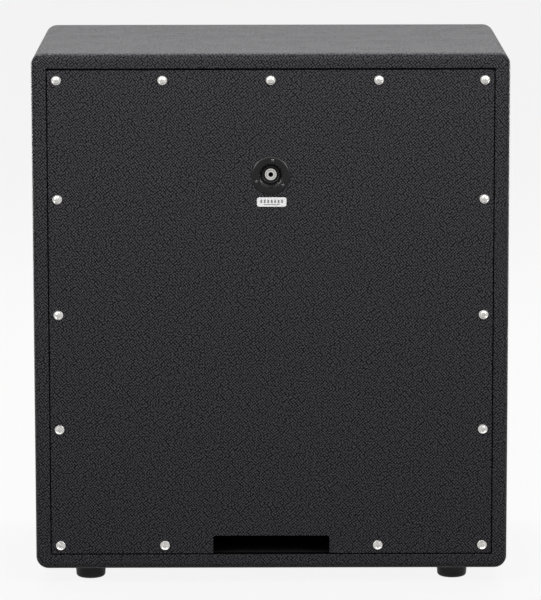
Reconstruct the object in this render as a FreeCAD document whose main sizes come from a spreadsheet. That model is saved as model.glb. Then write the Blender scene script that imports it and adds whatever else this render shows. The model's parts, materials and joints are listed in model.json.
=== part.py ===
import FreeCAD, Part
import math
import operator
import os

import Sketcher
from FreeCAD import Placement, Rotation, Vector

# Closed-back guitar speaker cabinet with two twelve-inch speakers set on a diagonal.
# X points right seen from the front, Y to the rear and Z up. The origin lies on the floor
# below the middle of the cabinet. All lengths are millimetres.

DIMENSIONS = {
    # Shell
    "cab_width": 620.0,
    "cab_height": 682.0,
    "cab_depth": 390.0,
    "corner_radius": 16.0,
    "edge_radius": 9.0,
    "vinyl": 0.75,
    "ply": 18.0,
    "finger_count": 15.0,
    "seam_round": 1.0,
    # Back panel and its cleats
    "panel_ply": 12.0,
    "panel_recess": 0.6,
    "panel_gap": 1.3,
    "panel_top_gap": 2.4,
    "rear_cleat_width": 28.0,
    "rear_cleat_depth": 20.0,
    "port_width": 153.3,
    "port_height": 24.2,
    "port_corner": 3.5,
    "port_cleat_gap": 14.0,
    # Back panel screws and cup washers
    "back_screw_top": 12.6,
    "back_screw_side": 12.0,
    "back_screw_bottom": 11.5,
    "back_screw_column": 140.0,
    "back_screw_row": 152.3,
    "back_screw_diameter": 4.2,
    "back_screw_length": 30.0,
    "back_head_diameter": 8.4,
    "back_head_sink": 1.5,
    "back_head_crown": 1.0,
    "cup_diameter": 13.3,
    "cup_lip": 0.5,
    "cup_seat": 0.4,
    "cup_reveal": 0.8,
    "cup_rim": 0.6,
    "cross_span": 4.8,
    "cross_width": 1.2,
    "cross_depth": 1.7,
    "screw_tip": 4.0,
    "screw_fit": 0.1,
    # Jack dish
    "jack_height": 523.3,
    "dish_diameter": 49.8,
    "dish_flange": 2.2,
    "dish_edge": 1.3,
    "dish_bevel": 2.0,
    "bowl_diameter": 30.4,
    "bowl_floor_diameter": 23.0,
    "bowl_depth": 12.0,
    "bowl_floor": 2.5,
    "bowl_wall": 1.4,
    "bowl_skirt": 2.0,
    "bowl_lip": 1.6,
    "bowl_fillet": 1.4,
    "dish_fit": 0.3,
    "scallop_radius": 5.0,
    "scallop_offset": 12.0,
    "scallop_depth": 1.5,
    "dish_screw_circle": 40.2,
    "dish_screw_angle": 97.5,
    "dish_screw_count": 3.0,
    "dish_screw_diameter": 2.9,
    "dish_screw_length": 11.0,
    "dish_head_diameter": 5.6,
    "dish_head_height": 1.6,
    # Quarter-inch jack
    "jack_bore": 6.5,
    "jack_thread": 9.4,
    "jack_fit": 0.1,
    "jack_nut_diameter": 16.2,
    "jack_nut_flange": 1.4,
    "jack_collar_diameter": 12.4,
    "jack_collar": 1.2,
    "jack_slot_width": 0.9,
    "jack_slot_depth": 0.7,
    "jack_slot_count": 8.0,
    "jack_lead_in": 0.2,
    "jack_washer": 0.8,
    "jack_shoulder_diameter": 15.0,
    "jack_shoulder": 2.0,
    "bracket_width": 10.0,
    "bracket_sheet": 1.4,
    "bracket_drop": 10.0,
    "bracket_length": 15.0,
    "insulator_width": 8.0,
    "insulator_length": 10.0,
    "insulator_height": 2.6,
    "lug_width": 4.0,
    "lug_sheet": 0.6,
    "lug_reach": 12.0,
    "lug_grip": 3.0,
    "leaf_roll": 0.6,
    "leaf_gap": 0.3,
    "leaf_sheet": 0.4,
    "leaf_width": 5.0,
    "leaf_shank": 12.0,
    "leaf_climb": 0.9,
    "leaf_nose": 16.0,
    "leaf_nose_below": 1.6,
    "leaf_tail": 3.2,
    "leaf_tail_drop": 2.2,
    # Label
    "label_width": 38.2,
    "label_height": 12.2,
    "label_corner": 2.8,
    "label_sheet": 0.15,
    "label_offset": -1.1,
    "label_up": 488.3,
    # Rubber feet
    "foot_height": 22.5,
    "foot_top_diameter": 41.2,
    "foot_bottom_diameter": 38.8,
    "foot_round": 5.0,
    "foot_well_diameter": 18.0,
    "foot_well_depth": 12.0,
    "foot_side_inset": 69.5,
    "foot_end_inset": 60.0,
    "foot_washer_diameter": 16.6,
    "foot_washer_sheet": 1.5,
    "foot_screw_diameter": 4.8,
    "foot_screw_length": 27.0,
    "foot_head_diameter": 9.2,
    "foot_head_height": 3.2,
    # Baffle
    "baffle_setback": 25.0,
    "baffle_ply": 18.0,
    "baffle_fit": 0.5,
    "baffle_cleat": 20.0,
    "baffle_screw_diameter": 4.0,
    "baffle_screw_length": 35.0,
    "baffle_head_diameter": 8.0,
    "baffle_head_sink": 3.0,
    "baffle_screw_row": 165.0,
    "baffle_screw_column": 140.0,
    # Grille
    "grille_setback": 8.0,
    "grille_gap": 1.0,
    "grille_cloth": 0.8,
    "grille_ply": 12.0,
    "grille_rail": 45.0,
    "piping_diameter": 4.0,
    "piping_corner": 6.0,
    "piping_fit": 0.1,
    "pad_size": 26.0,
    "pad_inset": 14.0,
    # Side handles
    "handle_up": 396.0,
    "handle_cup_length": 160.0,
    "handle_cup_height": 92.0,
    "handle_cup_depth": 52.0,
    "handle_cup_corner": 14.0,
    "handle_wall": 2.5,
    "handle_fit": 1.0,
    "handle_border": 16.0,
    "handle_border_corner": 18.0,
    "handle_flange": 2.6,
    "handle_lip": 1.0,
    "handle_screw_out": 4.0,
    "handle_screw_diameter": 4.0,
    "handle_screw_length": 19.0,
    "handle_head_diameter": 8.0,
    "handle_head_height": 2.4,
    "grip_diameter": 25.0,
    "grip_end_diameter": 19.0,
    "grip_rise": 14.0,
    "grip_inset": 1.0,
    # Speakers
    "speaker_aside": 85.0,
    "speaker_apart": 290.0,
    "speaker_diameter": 310.0,
    "cutout_inset": 13.5,
    "bolt_inset": 6.5,
    "bolt_count": 8.0,
    "bolt_diameter": 5.0,
    "bolt_length": 24.0,
    "bolt_head_diameter": 9.5,
    "bolt_head_height": 3.4,
    "bolt_fit": 0.2,
    "tee_flange_diameter": 19.0,
    "tee_flange": 1.5,
    "tee_barrel_diameter": 6.8,
    "tee_barrel_length": 11.0,
    "gasket": 3.0,
    "gasket_width": 11.5,
    "edge_sheet": 0.6,
    "edge_land_width": 14.0,
    "frame_sheet": 1.6,
    "throat_inset": 15.5,
    "shoulder_inset": 21.5,
    "frame_shoulder_depth": 17.5,
    "ledge_diameter": 148.0,
    "ledge_depth": 62.0,
    "neck_diameter": 114.0,
    "frame_depth": 80.0,
    "frame_mouth": 60.0,
    "window_inset": 30.0,
    "window_inner": 166.0,
    "window_angle": 31.0,
    "window_count": 8.0,
    "plate_diameter": 140.0,
    "plate_thickness": 8.0,
    "magnet_diameter": 156.0,
    "magnet_bore": 84.0,
    "magnet_thickness": 22.0,
    "gap_outer": 47.8,
    "pole_diameter": 43.2,
    "former_bore": 44.2,
    "former_sheet": 0.4,
    "former_front": 53.0,
    "winding_sheet": 0.6,
    "winding_length": 12.0,
    "cone_inset": 27.0,
    "cone_rim_depth": 8.0,
    "cone_neck_depth": 56.0,
    "cone_sag": 3.0,
    "cone_sheet": 0.7,
    "cone_fit": 0.1,
    "flex_gap": 0.3,
    "cap_diameter": 76.0,
    "cap_crown": 17.0,
    "cap_sheet": 0.5,
    "cap_fit": 0.1,
    "edge_rolls": 2.0,
    "edge_roll_height": 0.6,
    "spider_rolls": 5.0,
    "spider_roll_height": 0.8,
    "spider_sheet": 0.6,
    "spider_land": 118.0,
    "spider_collar": 2.0,
    "spider_cup": 4.0,
    "strip_width": 40.0,
    "strip_length": 13.0,
    "strip_sheet": 2.4,
    "strip_start": 66.0,
    "strip_fit": 0.1,
    "blade_apart": 18.0,
    "blade_width": 6.3,
    "blade_sheet": 0.8,
    "blade_length": 9.0,
    "push_on_width": 7.6,
    "push_on_height": 2.8,
    "push_on_length": 14.0,
    "push_on_bite": 7.0,
    # Leads
    "lead_diameter": 2.2,
    "lead_apart": 3.6,
}

OPERATIONS = {
    "+": operator.add,
    "-": operator.sub,
    "*": operator.mul,
    "/": operator.truediv,
}

TO_REAR = Rotation(Vector(1, 0, 0), -90)
TO_FRONT = Rotation(Vector(1, 0, 0), 90)
UPRIGHT = Rotation()
UPSIDE_DOWN = Rotation(Vector(1, 0, 0), 180)
MARGIN = 5.0
EPSILON = 1e-4
# Where the middle of a rounded corner lies between the corner and its tangent ends
ROUND_MIDDLE = 0.29
# The same for a bevel that is nearly flat
BEVEL_MIDDLE = 0.45

doc = FreeCAD.newDocument("speaker_cabinet")
nodes = []


class Size:
    """A length that carries its value and the sheet expression that gives it."""

    def __init__(self, value, text):
        self.value = float(value)
        self.text = text

    def __float__(self):
        return self.value

    def __add__(self, other):
        return combine(self, "+", other)

    def __radd__(self, other):
        return combine(other, "+", self)

    def __sub__(self, other):
        return combine(self, "-", other)

    def __rsub__(self, other):
        return combine(other, "-", self)

    def __mul__(self, other):
        return combine(self, "*", other)

    def __rmul__(self, other):
        return combine(other, "*", self)

    def __truediv__(self, other):
        return combine(self, "/", other)

    def __neg__(self):
        return combine(0, "-", self)


class Dimensions:
    """The sheet's cells, read by their aliases."""

    def __init__(self, sheet):
        self.sheet = sheet

    def __getattr__(self, alias):
        return Size(getattr(self.sheet, alias), f"{self.sheet.Name}.{alias}")


def text_of(size):
    return size.text if isinstance(size, Size) else repr(float(size))


def combine(first, sign, second):
    value = OPERATIONS[sign](float(first), float(second))
    return Size(value, f"({text_of(first)} {sign} {text_of(second)})")


def root(size):
    return Size(math.sqrt(size.value), f"sqrt({size.text})")


def make_sheet():
    sheet = doc.addObject("Spreadsheet::Sheet", "Dims")
    for row, (alias, value) in enumerate(DIMENSIONS.items(), 1):
        sheet.set(f"A{row}", alias)
        sheet.set(f"B{row}", str(value))
        sheet.setAlias(f"B{row}", alias)
    doc.recompute()
    return Dimensions(sheet)


d = make_sheet()

# Main planes of the cabinet
half_width = d.cab_width / 2
half_depth = d.cab_depth / 2
front_y = -half_depth
floor_z = d.foot_height + 0
roof_z = d.foot_height + d.cab_height
middle_z = d.foot_height + d.cab_height / 2
wall = d.vinyl + d.ply
inner_x = half_width - wall
inner_low = floor_z + wall
inner_high = roof_z - wall
mouth_x = inner_x - d.vinyl
mouth_low = inner_low + d.vinyl
mouth_high = inner_high - d.vinyl
# Back panel
panel_y = half_depth - d.panel_recess
board_y = panel_y - d.vinyl
panel_seat = board_y - d.panel_ply
panel_x = mouth_x - d.panel_gap
panel_low = mouth_low + d.panel_gap
panel_high = mouth_high - d.panel_top_gap
# Baffle, grille and speakers
baffle_front = front_y + d.baffle_setback
baffle_rear = baffle_front + d.baffle_ply
grille_y = front_y + d.grille_setback
grille_x = mouth_x - d.grille_gap
grille_low = mouth_low + d.grille_gap
grille_high = mouth_high - d.grille_gap
grille_frame_y = grille_y + d.grille_cloth
grille_back = grille_frame_y + d.grille_ply
speaker_rim = d.speaker_diameter / 2
cone_rim = speaker_rim - d.cone_inset
jack_z = floor_z + d.jack_height
handle_z = floor_z + d.handle_up
SPEAKERS = {
    "upper": (-d.speaker_aside, middle_z + d.speaker_apart / 2),
    "lower": (d.speaker_aside + 0, middle_z - d.speaker_apart / 2),
}
SIDES = {"left": -1, "right": 1}


# Building blocks

def bind(thing, prop, size):
    thing.setExpression(prop, text_of(size))


def move(thing, spot):
    for axis, size in zip("xyz", spot):
        bind(thing, f"Placement.Base.{axis}", size)


def keep(thing):
    nodes.append(thing)
    return thing


def box(name, low, high):
    block = doc.addObject("Part::Box", name)
    for prop, start, end in zip(("Length", "Width", "Height"), low, high):
        bind(block, prop, end - start)
    move(block, low)
    return block


def rod(name, radius, start, length, axis):
    bar = doc.addObject("Part::Cylinder", name)
    bar.Placement = Placement(Vector(), Rotation(Vector(0, 0, 1), axis))
    bind(bar, "Radius", radius)
    bind(bar, "Height", length)
    move(bar, start)
    return bar


def bundle(name, things):
    group = doc.addObject("Part::Compound", name)
    group.Links = list(things)
    return group


def fuse(name, *things):
    joined = doc.addObject("Part::MultiFuse", name)
    joined.Shapes = list(things)
    joined.Refine = True
    return joined


def common(name, first, second):
    shared = doc.addObject("Part::Common", name)
    shared.Base = first
    shared.Tool = second
    return shared


def cut(name, base, *tools):
    rest = doc.addObject("Part::Cut", name)
    rest.Base = base
    rest.Tool = tools[0] if len(tools) == 1 else bundle(name + "_tools", tools)
    return rest


def rounded_block(name, low, high, radius, along=None):
    """A block with its edges rounded, all of them or those along one direction."""
    body = doc.addObject("PartDesign::Body", name)
    block = body.newObject("PartDesign::AdditiveBox", name + "_block")
    for prop, start, end in zip(("Length", "Width", "Height"), low, high):
        bind(block, prop, end - start)
    move(block, low)
    doc.recompute()
    chosen = []
    for number, edge in enumerate(block.Shape.Edges, 1):
        direction = edge.tangentAt(edge.FirstParameter)
        if along is None or abs(direction.dot(along)) > 1 - EPSILON:
            chosen.append(f"Edge{number}")
    rounding = body.newObject("PartDesign::Fillet", name + "_rounding")
    rounding.Base = (block, chosen)
    bind(rounding, "Radius", radius)
    return body


def soften(name, base, radius, wanted):
    """Round the edges of a shape that the wanted test picks."""
    doc.recompute()
    rounded = doc.addObject("Part::Fillet", name)
    rounded.Base = base
    chosen = []
    for number, edge in enumerate(base.Shape.Edges, 1):
        if wanted(edge.BoundBox):
            chosen.append((number, float(radius), float(radius)))
    rounded.Edges = chosen
    return rounded


def draw(sketch, outline):
    """A closed outline of corners (x, y); a third entry is a point that an arc to it passes."""
    ends = []
    values = [tuple(float(size) for size in corner[:2]) for corner in outline]
    for index, corner in enumerate(outline):
        start = Vector(*values[index - 1], 0)
        end = Vector(*values[index], 0)
        if len(corner) == 3:
            through = Vector(*(float(size) for size in corner[2]), 0)
            number = sketch.addGeometry(Part.Arc(start, through, end), False)
        else:
            number = sketch.addGeometry(Part.LineSegment(start, end), False)
        forward = (sketch.getPoint(number, 1) - start).Length < EPSILON
        ends.append((number, 1, 2) if forward else (number, 2, 1))
    for index, corner in enumerate(outline):
        number, head, tail = ends[index]
        after, after_head, after_tail = ends[(index + 1) % len(outline)]
        sketch.addConstraint(Sketcher.Constraint("Coincident", number, tail, after, after_head))
        pin_point(sketch, number, tail, corner[:2])
        if len(corner) == 3:
            through = Vector(*(float(size) for size in corner[2]), 0)
            point = sketch.addGeometry(Part.Point(through), True)
            pin_point(sketch, point, 1, corner[2])
            sketch.addConstraint(Sketcher.Constraint("PointOnObject", point, 1, number))


def pin_point(sketch, number, end, spot):
    """Tie one sketch point to its two coordinates."""
    for kind, size, axis in zip(("DistanceX", "DistanceY"), spot, (-2, -1)):
        if not isinstance(size, Size) and size == 0:
            sketch.addConstraint(Sketcher.Constraint("PointOnObject", number, end, axis))
            continue
        index = sketch.addConstraint(Sketcher.Constraint(kind, -1, 1, number, end, float(size)))
        bind(sketch, f"Constraints[{index}]", size)


def origin_plane(body, role):
    return next(plane for plane in body.Origin.OriginFeatures if plane.Role == role)


def profile(body, name, role, outline):
    sketch = body.newObject("Sketcher::SketchObject", name)
    sketch.AttachmentSupport = [(origin_plane(body, role), "")]
    sketch.MapMode = "FlatFace"
    draw(sketch, outline)
    return sketch


def turned(name, outline, spot=(0, 0, 0), turn=UPRIGHT):
    """A body turned from an outline of (radius, height) about its own upright axis."""
    body = doc.addObject("PartDesign::Body", name)
    sketch = profile(body, name + "_profile", "XZ_Plane", outline)
    spin = body.newObject("PartDesign::Revolution", name + "_spin")
    spin.Profile = sketch
    spin.ReferenceAxis = (sketch, ["V_Axis"])
    spin.Angle = 360
    body.Placement = Placement(Vector(), turn)
    move(body, spot)
    return body


def linked(name, master, spots, turns, with_own_place=False):
    """Links to one piece, each with its own spot and turn."""
    links = []
    for number, (spot, turn) in enumerate(zip(spots, turns), 1):
        link = doc.addObject("App::Link", f"{name}_{number}")
        link.LinkedObject = master
        link.LinkTransform = with_own_place
        link.Placement = Placement(Vector(), turn)
        move(link, spot)
        links.append(link)
    return links


def copies(name, master, spots, turns):
    """Separate copies of one piece in one group."""
    return bundle(name, linked(name, master, spots, turns))


def across(side, near, far):
    """Low and high X of a span that is given outward from the middle, on one side."""
    return (near, far) if side > 0 else (-far, -near)


def dome_middle(base_radius, rise):
    """A point of the arc that rises from a rim to a crown on the axis."""
    ball = (base_radius * base_radius + rise * rise) / (2 * rise)
    half = base_radius / 2
    return half, rise - ball + root(ball * ball - half * half)


def spun(turn, degrees):
    """A turn with a first twist about the piece's own axis."""
    return turn.multiply(Rotation(Vector(0, 0, 1), degrees))


def cross_recess(name, top):
    """The cross-shaped driver recess of a screw head whose top is at a height."""
    long_half = d.cross_span / 2
    short_half = d.cross_width / 2
    low = top - d.cross_depth
    first = box(name + "_slot_a", (-long_half, -short_half, low), (long_half, short_half, top + MARGIN))
    second = box(name + "_slot_b", (-short_half, -long_half, low), (short_half, long_half, top + MARGIN))
    return fuse(name + "_cross", first, second)


def pan_screw(name, diameter, length, head_diameter, head_height):
    """A pan-head screw whose head sits on height zero and whose shank points down."""
    radius = diameter / 2
    head = head_diameter / 2
    middle_x, middle_y = dome_middle(head, head_height)
    outline = [
        (0, -length),
        (radius, d.screw_tip - length),
        (radius, 0),
        (head, 0),
        (0, head_height, (middle_x, middle_y)),
    ]
    body = turned(name + "_body", outline)
    return cut(name, body, cross_recess(name, head_height))


# Shell of four finger-jointed boards

def shell_block(name, low, high, corner_radius, edge_radius):
    """A block rounded along its depth, then round its front and rear faces."""
    long_rounded = rounded_block(name + "_long", low, high, corner_radius, Vector(0, 1, 0))

    def at_ends(bounds):
        return bounds.YLength < EPSILON

    return soften(name, long_rounded, edge_radius, at_ends)


def make_ply_block():
    low = (d.vinyl - half_width, d.vinyl - half_depth, floor_z + d.vinyl)
    high = (half_width - d.vinyl, half_depth - d.vinyl, roof_z - d.vinyl)
    return shell_block("ply_block", low, high, d.corner_radius - d.vinyl, d.edge_radius - d.vinyl)


def finger_notches(name, first, spans):
    """Blocks over every second finger, repeated over each span of X and Z."""
    pitch = (d.cab_depth - 2 * d.vinyl) / d.finger_count
    blocks = []
    for row, (x_span, z_span) in enumerate(spans):
        for finger in range(first, int(d.finger_count.value), 2):
            start = d.vinyl - half_depth + finger * pitch
            low = (x_span[0], start, z_span[0])
            high = (x_span[1], start + pitch, z_span[1])
            blocks.append(box(f"{name}_{row}_{finger}", low, high))
    return bundle(name, blocks)


def side_spans(z_span):
    return [(across(side, inner_x, half_width + MARGIN), z_span) for side in SIDES.values()]


def end_spans(x_span):
    bottom = (floor_z - MARGIN, inner_low)
    top = (inner_high, roof_z + MARGIN)
    return [(x_span, bottom), (x_span, top)]


def make_cross_board(name, ply_block, z_span, holes):
    low = (-half_width, front_y, z_span[0])
    high = (half_width, half_depth, z_span[1])
    board = common(name + "_board", ply_block, box(name + "_slab", low, high))
    notches = finger_notches(name + "_notches", 0, side_spans(z_span))
    fingered = cut(name + "_fingered" if holes else name, board, notches)
    return keep(cut(name, fingered, holes) if holes else fingered)


def make_side_board(name, side, ply_block, holes):
    x_span = across(side, inner_x, half_width + MARGIN)
    low = (x_span[0], front_y, floor_z)
    high = (x_span[1], half_depth, roof_z)
    board = common(name + "_board", ply_block, box(name + "_slab", low, high))
    notches = finger_notches(name + "_notches", 1, end_spans(x_span))
    fingered = cut(name + "_fingered", board, notches)
    return keep(cut(name, fingered, holes))


def ring(name, y_span, mouth):
    """The turned-in flap of the covering on the inside of the shell's edge."""
    low = (-inner_x, y_span[0], inner_low)
    high = (inner_x, y_span[1], inner_high)
    return cut(name, box(name + "_block", low, high), mouth)


def make_shell_covering(ply_block, holes):
    low = (-half_width, front_y, floor_z)
    high = (half_width, half_depth, roof_z)
    outer = shell_block("cover_block", low, high, d.corner_radius, d.edge_radius)
    mouth_start = (-mouth_x, front_y - MARGIN, mouth_low)
    mouth_end = (mouth_x, half_depth + MARGIN, mouth_high)
    mouth = box("cover_mouth", mouth_start, mouth_end)
    skin = cut("cover_skin", cut("cover_hollow", outer, ply_block), mouth)
    rear = ring("cover_rear_flap", (panel_seat, half_depth - d.vinyl), mouth)
    front = ring("cover_front_flap", (front_y + d.vinyl, baffle_front), mouth)
    whole = fuse("cover_whole", skin, rear, front)

    def at_mouth(bounds):
        flat = bounds.YLength < EPSILON and abs(abs(bounds.YMin) - half_depth.value) < EPSILON
        inside_x = max(abs(bounds.XMin), abs(bounds.XMax)) < mouth_x.value + EPSILON
        inside_z = bounds.ZMin > mouth_low.value - EPSILON and bounds.ZMax < mouth_high.value + EPSILON
        return flat and inside_x and inside_z

    rounded = soften("cover_rounded", whole, d.seam_round, at_mouth)
    return keep(cut("shell_covering", rounded, *holes))


# Back panel, its cleats and its screws

def back_screw_spots():
    """Screws round the panel: five on top, three down each side, four below beside the port."""
    edge_x = panel_x - d.back_screw_side
    top = panel_high - d.back_screw_top
    bottom = panel_low + d.back_screw_bottom
    middle = (top + bottom) / 2
    spots = []
    for x in (-edge_x, -d.back_screw_column, 0.0, d.back_screw_column + 0, edge_x):
        spots.append((x, panel_y, top))
    for x in (-edge_x, edge_x):
        for row in (1, 0, -1):
            spots.append((x, panel_y, middle + row * d.back_screw_row))
    for x in (-edge_x, -d.back_screw_column, d.back_screw_column + 0, edge_x):
        spots.append((x, panel_y, bottom))
    return spots


def make_back_screws(spots):
    radius = d.back_screw_diameter / 2
    head = d.back_head_diameter / 2
    head_edge = d.cup_seat + d.back_head_sink
    middle_x, middle_y = dome_middle(head, d.back_head_crown)
    crown = head_edge + d.back_head_crown
    outline = [
        (0, -d.back_screw_length),
        (radius, d.screw_tip - d.back_screw_length),
        (radius, d.cup_seat + 0),
        (head, head_edge),
        (0, crown, (middle_x, head_edge + middle_y)),
    ]
    body = turned("back_screw_body", outline)
    screw = cut("back_screw", body, cross_recess("back_screw", crown))
    turn_step = 37
    turns = [spun(TO_REAR, number * turn_step) for number in range(len(spots))]
    keep(copies("back_panel_screws", screw, spots, turns))
    bore = radius + d.screw_fit
    rim = head + d.screw_fit + d.cup_reveal
    top = head_edge + d.cup_reveal * d.back_head_sink / (head - radius)
    outer = d.cup_diameter / 2
    shoulder = rim + d.cup_rim
    swell = ((outer + shoulder) / 2 + d.cup_lip / 2, (d.cup_lip + top) / 2 + d.cup_lip / 2)
    cup_outline = [
        (bore, 0),
        (outer, 0),
        (outer, d.cup_lip + 0),
        (shoulder, top, swell),
        (rim, top),
        (bore, d.cup_seat + 0),
    ]
    cup = turned("cup_washer", cup_outline)
    keep(copies("back_panel_cup_washers", cup, spots, [TO_REAR] * len(spots)))


def back_screw_holes(spots):
    radius = d.back_screw_diameter / 2 + d.screw_fit
    length = d.back_screw_length + MARGIN
    holes = []
    for number, spot in enumerate(spots):
        start = (spot[0], spot[1] + MARGIN, spot[2])
        holes.append(rod(f"back_screw_hole_{number}", radius, start, length + MARGIN, Vector(0, -1, 0)))
    return bundle("back_screw_holes", holes)


def make_rear_cleats(holes):
    low_y = panel_seat - d.rear_cleat_depth
    inside_x = inner_x - d.rear_cleat_width
    sides = []
    for name, side in SIDES.items():
        x_low, x_high = across(side, inside_x, inner_x)
        sides.append(box(f"rear_cleat_{name}", (x_low, low_y, inner_low), (x_high, panel_seat, inner_high)))
    keep(cut("rear_side_cleats", bundle("rear_side_pair", sides), holes))
    top_low = (-inside_x, low_y, inner_high - d.rear_cleat_width)
    top = box("rear_cleat_top", top_low, (inside_x, panel_seat, inner_high))
    keep(cut("rear_top_cleat", top, holes))
    port_edge = d.port_width / 2 + d.port_cleat_gap
    bottoms = []
    for name, side in SIDES.items():
        x_low, x_high = across(side, port_edge, inside_x)
        low = (x_low, low_y, inner_low)
        high = (x_high, panel_seat, inner_low + d.rear_cleat_width)
        bottoms.append(box(f"rear_cleat_bottom_{name}", low, high))
    keep(cut("rear_bottom_cleats", bundle("rear_bottom_pair", bottoms), holes))


def make_port_block():
    below = panel_low - d.port_corner - MARGIN
    low = (-d.port_width / 2, panel_seat - MARGIN, below)
    high = (d.port_width / 2, panel_y + MARGIN, panel_low + d.port_height)
    return rounded_block("port_block", low, high, d.port_corner, Vector(0, 1, 0))


def make_back_panel(holes):
    low = (d.vinyl - panel_x, panel_seat, panel_low + d.vinyl)
    high = (panel_x - d.vinyl, board_y, panel_high - d.vinyl)
    board = box("back_board", low, high)
    keep(cut("back_panel", board, *holes))
    cover = box("back_cover_block", (-panel_x, panel_seat, panel_low), (panel_x, panel_y, panel_high))
    skin = cut("back_cover_skin", cover, board)

    def at_rear(bounds):
        return bounds.YLength < EPSILON and abs(bounds.YMin - panel_y.value) < EPSILON

    rounded = soften("back_cover_rounded", skin, d.seam_round, at_rear)
    keep(cut("back_panel_covering", rounded, *holes))


def make_label():
    middle_x = d.label_offset + 0
    middle = floor_z + d.label_up
    low = (middle_x - d.label_width / 2, panel_y, middle - d.label_height / 2)
    high = (middle_x + d.label_width / 2, panel_y + d.label_sheet, middle + d.label_height / 2)
    keep(rounded_block("label", low, high, d.label_corner, Vector(0, 1, 0)))


# Jack dish and jack, with heights measured outward from the panel's face

bowl_floor_front = d.dish_flange - d.bowl_depth
bowl_floor_back = bowl_floor_front - d.bowl_floor
bowl_neck = d.bowl_diameter / 2 + d.bowl_wall
shoulder_front = bowl_floor_back - d.jack_washer
shoulder_back = shoulder_front - d.jack_shoulder
bracket_back = shoulder_back - d.bracket_length
bracket_low = jack_z - d.bracket_drop
bracket_top = bracket_low + d.bracket_sheet
insulator_top = bracket_top + d.insulator_height
insulator_back = bracket_back + d.bracket_sheet
lug_middle = insulator_back + d.insulator_length / 2
leaf_y = panel_y + insulator_back - d.leaf_gap - d.leaf_roll
leaf_z = insulator_top + d.leaf_roll / 2
tip_lug_z = insulator_top + d.lug_sheet / 2
sleeve_lug_z = bracket_low - d.lug_sheet / 2
lug_y = panel_y + lug_middle
lug_end = d.lug_reach + 0


def on_dish_circle(angle):
    """X and Z of a point on the dish's screw circle."""
    radius = d.dish_screw_circle / 2
    turn = math.radians(angle.value)
    cosine = Size(math.cos(turn), f"cos({angle.text} * 1 deg)")
    sine = Size(math.sin(turn), f"sin({angle.text} * 1 deg)")
    return radius * cosine, radius * sine


def dish_screw_spots():
    spots = []
    count = int(d.dish_screw_count.value)
    for number in range(count):
        x, up = on_dish_circle(d.dish_screw_angle + number * 360 / count)
        spots.append((x, panel_y, jack_z + up))
    return spots


def dish_holes(spots):
    """The round hole for the bowl and the three screw holes."""
    start = (0.0, panel_y + MARGIN, jack_z)
    depth = d.panel_ply + d.vinyl + 2 * MARGIN
    holes = [rod("dish_hole", bowl_neck + d.dish_fit, start, depth, Vector(0, -1, 0))]
    holes.append(dish_screw_holes(spots))
    return holes


def dish_screw_holes(spots):
    radius = d.dish_screw_diameter / 2 + d.screw_fit
    holes = []
    for number, (x, y, z) in enumerate(spots):
        start = (x, y + MARGIN, z)
        length = d.dish_screw_length + MARGIN
        holes.append(rod(f"dish_screw_hole_{number}", radius, start, length, Vector(0, -1, 0)))
    return bundle("dish_screw_holes", holes)


def make_jack_dish(screw_holes):
    outer = d.dish_diameter / 2
    bowl = d.bowl_diameter / 2
    floor_radius = d.bowl_floor_diameter / 2
    hole = d.jack_thread / 2 + d.jack_fit
    run = bowl - floor_radius
    rise = d.dish_flange - d.bowl_lip - bowl_floor_front
    slant = root(run * run + rise * rise)
    wall_in = d.bowl_fillet * run / slant
    wall_up = d.bowl_fillet * rise / slant
    edge_rise = d.dish_flange - d.dish_edge
    crest = (outer - d.dish_bevel * BEVEL_MIDDLE, d.dish_flange - edge_rise * BEVEL_MIDDLE)
    lip = (bowl + d.bowl_lip * ROUND_MIDDLE, d.dish_flange - d.bowl_lip * ROUND_MIDDLE)
    hollow_in = (wall_in - d.bowl_fillet) * ROUND_MIDDLE
    hollow = (floor_radius + hollow_in, bowl_floor_front + wall_up * ROUND_MIDDLE)
    outline = [
        (outer, 0),
        (outer, d.dish_edge + 0),
        (outer - d.dish_bevel, d.dish_flange + 0, crest),
        (bowl + d.bowl_lip, d.dish_flange + 0),
        (bowl, d.dish_flange - d.bowl_lip, lip),
        (floor_radius + wall_in, bowl_floor_front + wall_up),
        (floor_radius - d.bowl_fillet, bowl_floor_front, hollow),
        (hole, bowl_floor_front),
        (hole, bowl_floor_back),
        (floor_radius + d.bowl_wall, bowl_floor_back),
        (bowl_neck, -d.bowl_skirt),
        (bowl_neck, 0),
    ]
    spot = (0.0, panel_y, jack_z)
    body = turned("jack_dish_body", outline, spot, TO_REAR)
    start = (0.0, panel_y + d.dish_flange - d.scallop_depth, jack_z - d.scallop_offset)
    scallop = rod("jack_dish_scallop", d.scallop_radius, start, MARGIN, Vector(0, 1, 0))
    keep(cut("jack_dish", cut("jack_dish_scalloped", body, scallop), screw_holes))


def make_dish_screws(spots):
    screw = pan_screw("dish_screw", d.dish_screw_diameter, d.dish_screw_length,
                      d.dish_head_diameter, d.dish_head_height)
    seats = [(x, y + d.dish_flange, z) for x, y, z in spots]
    turn_step = 25
    turns = [spun(TO_REAR, number * turn_step) for number in range(len(spots))]
    keep(copies("jack_dish_screws", screw, seats, turns))


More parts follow.
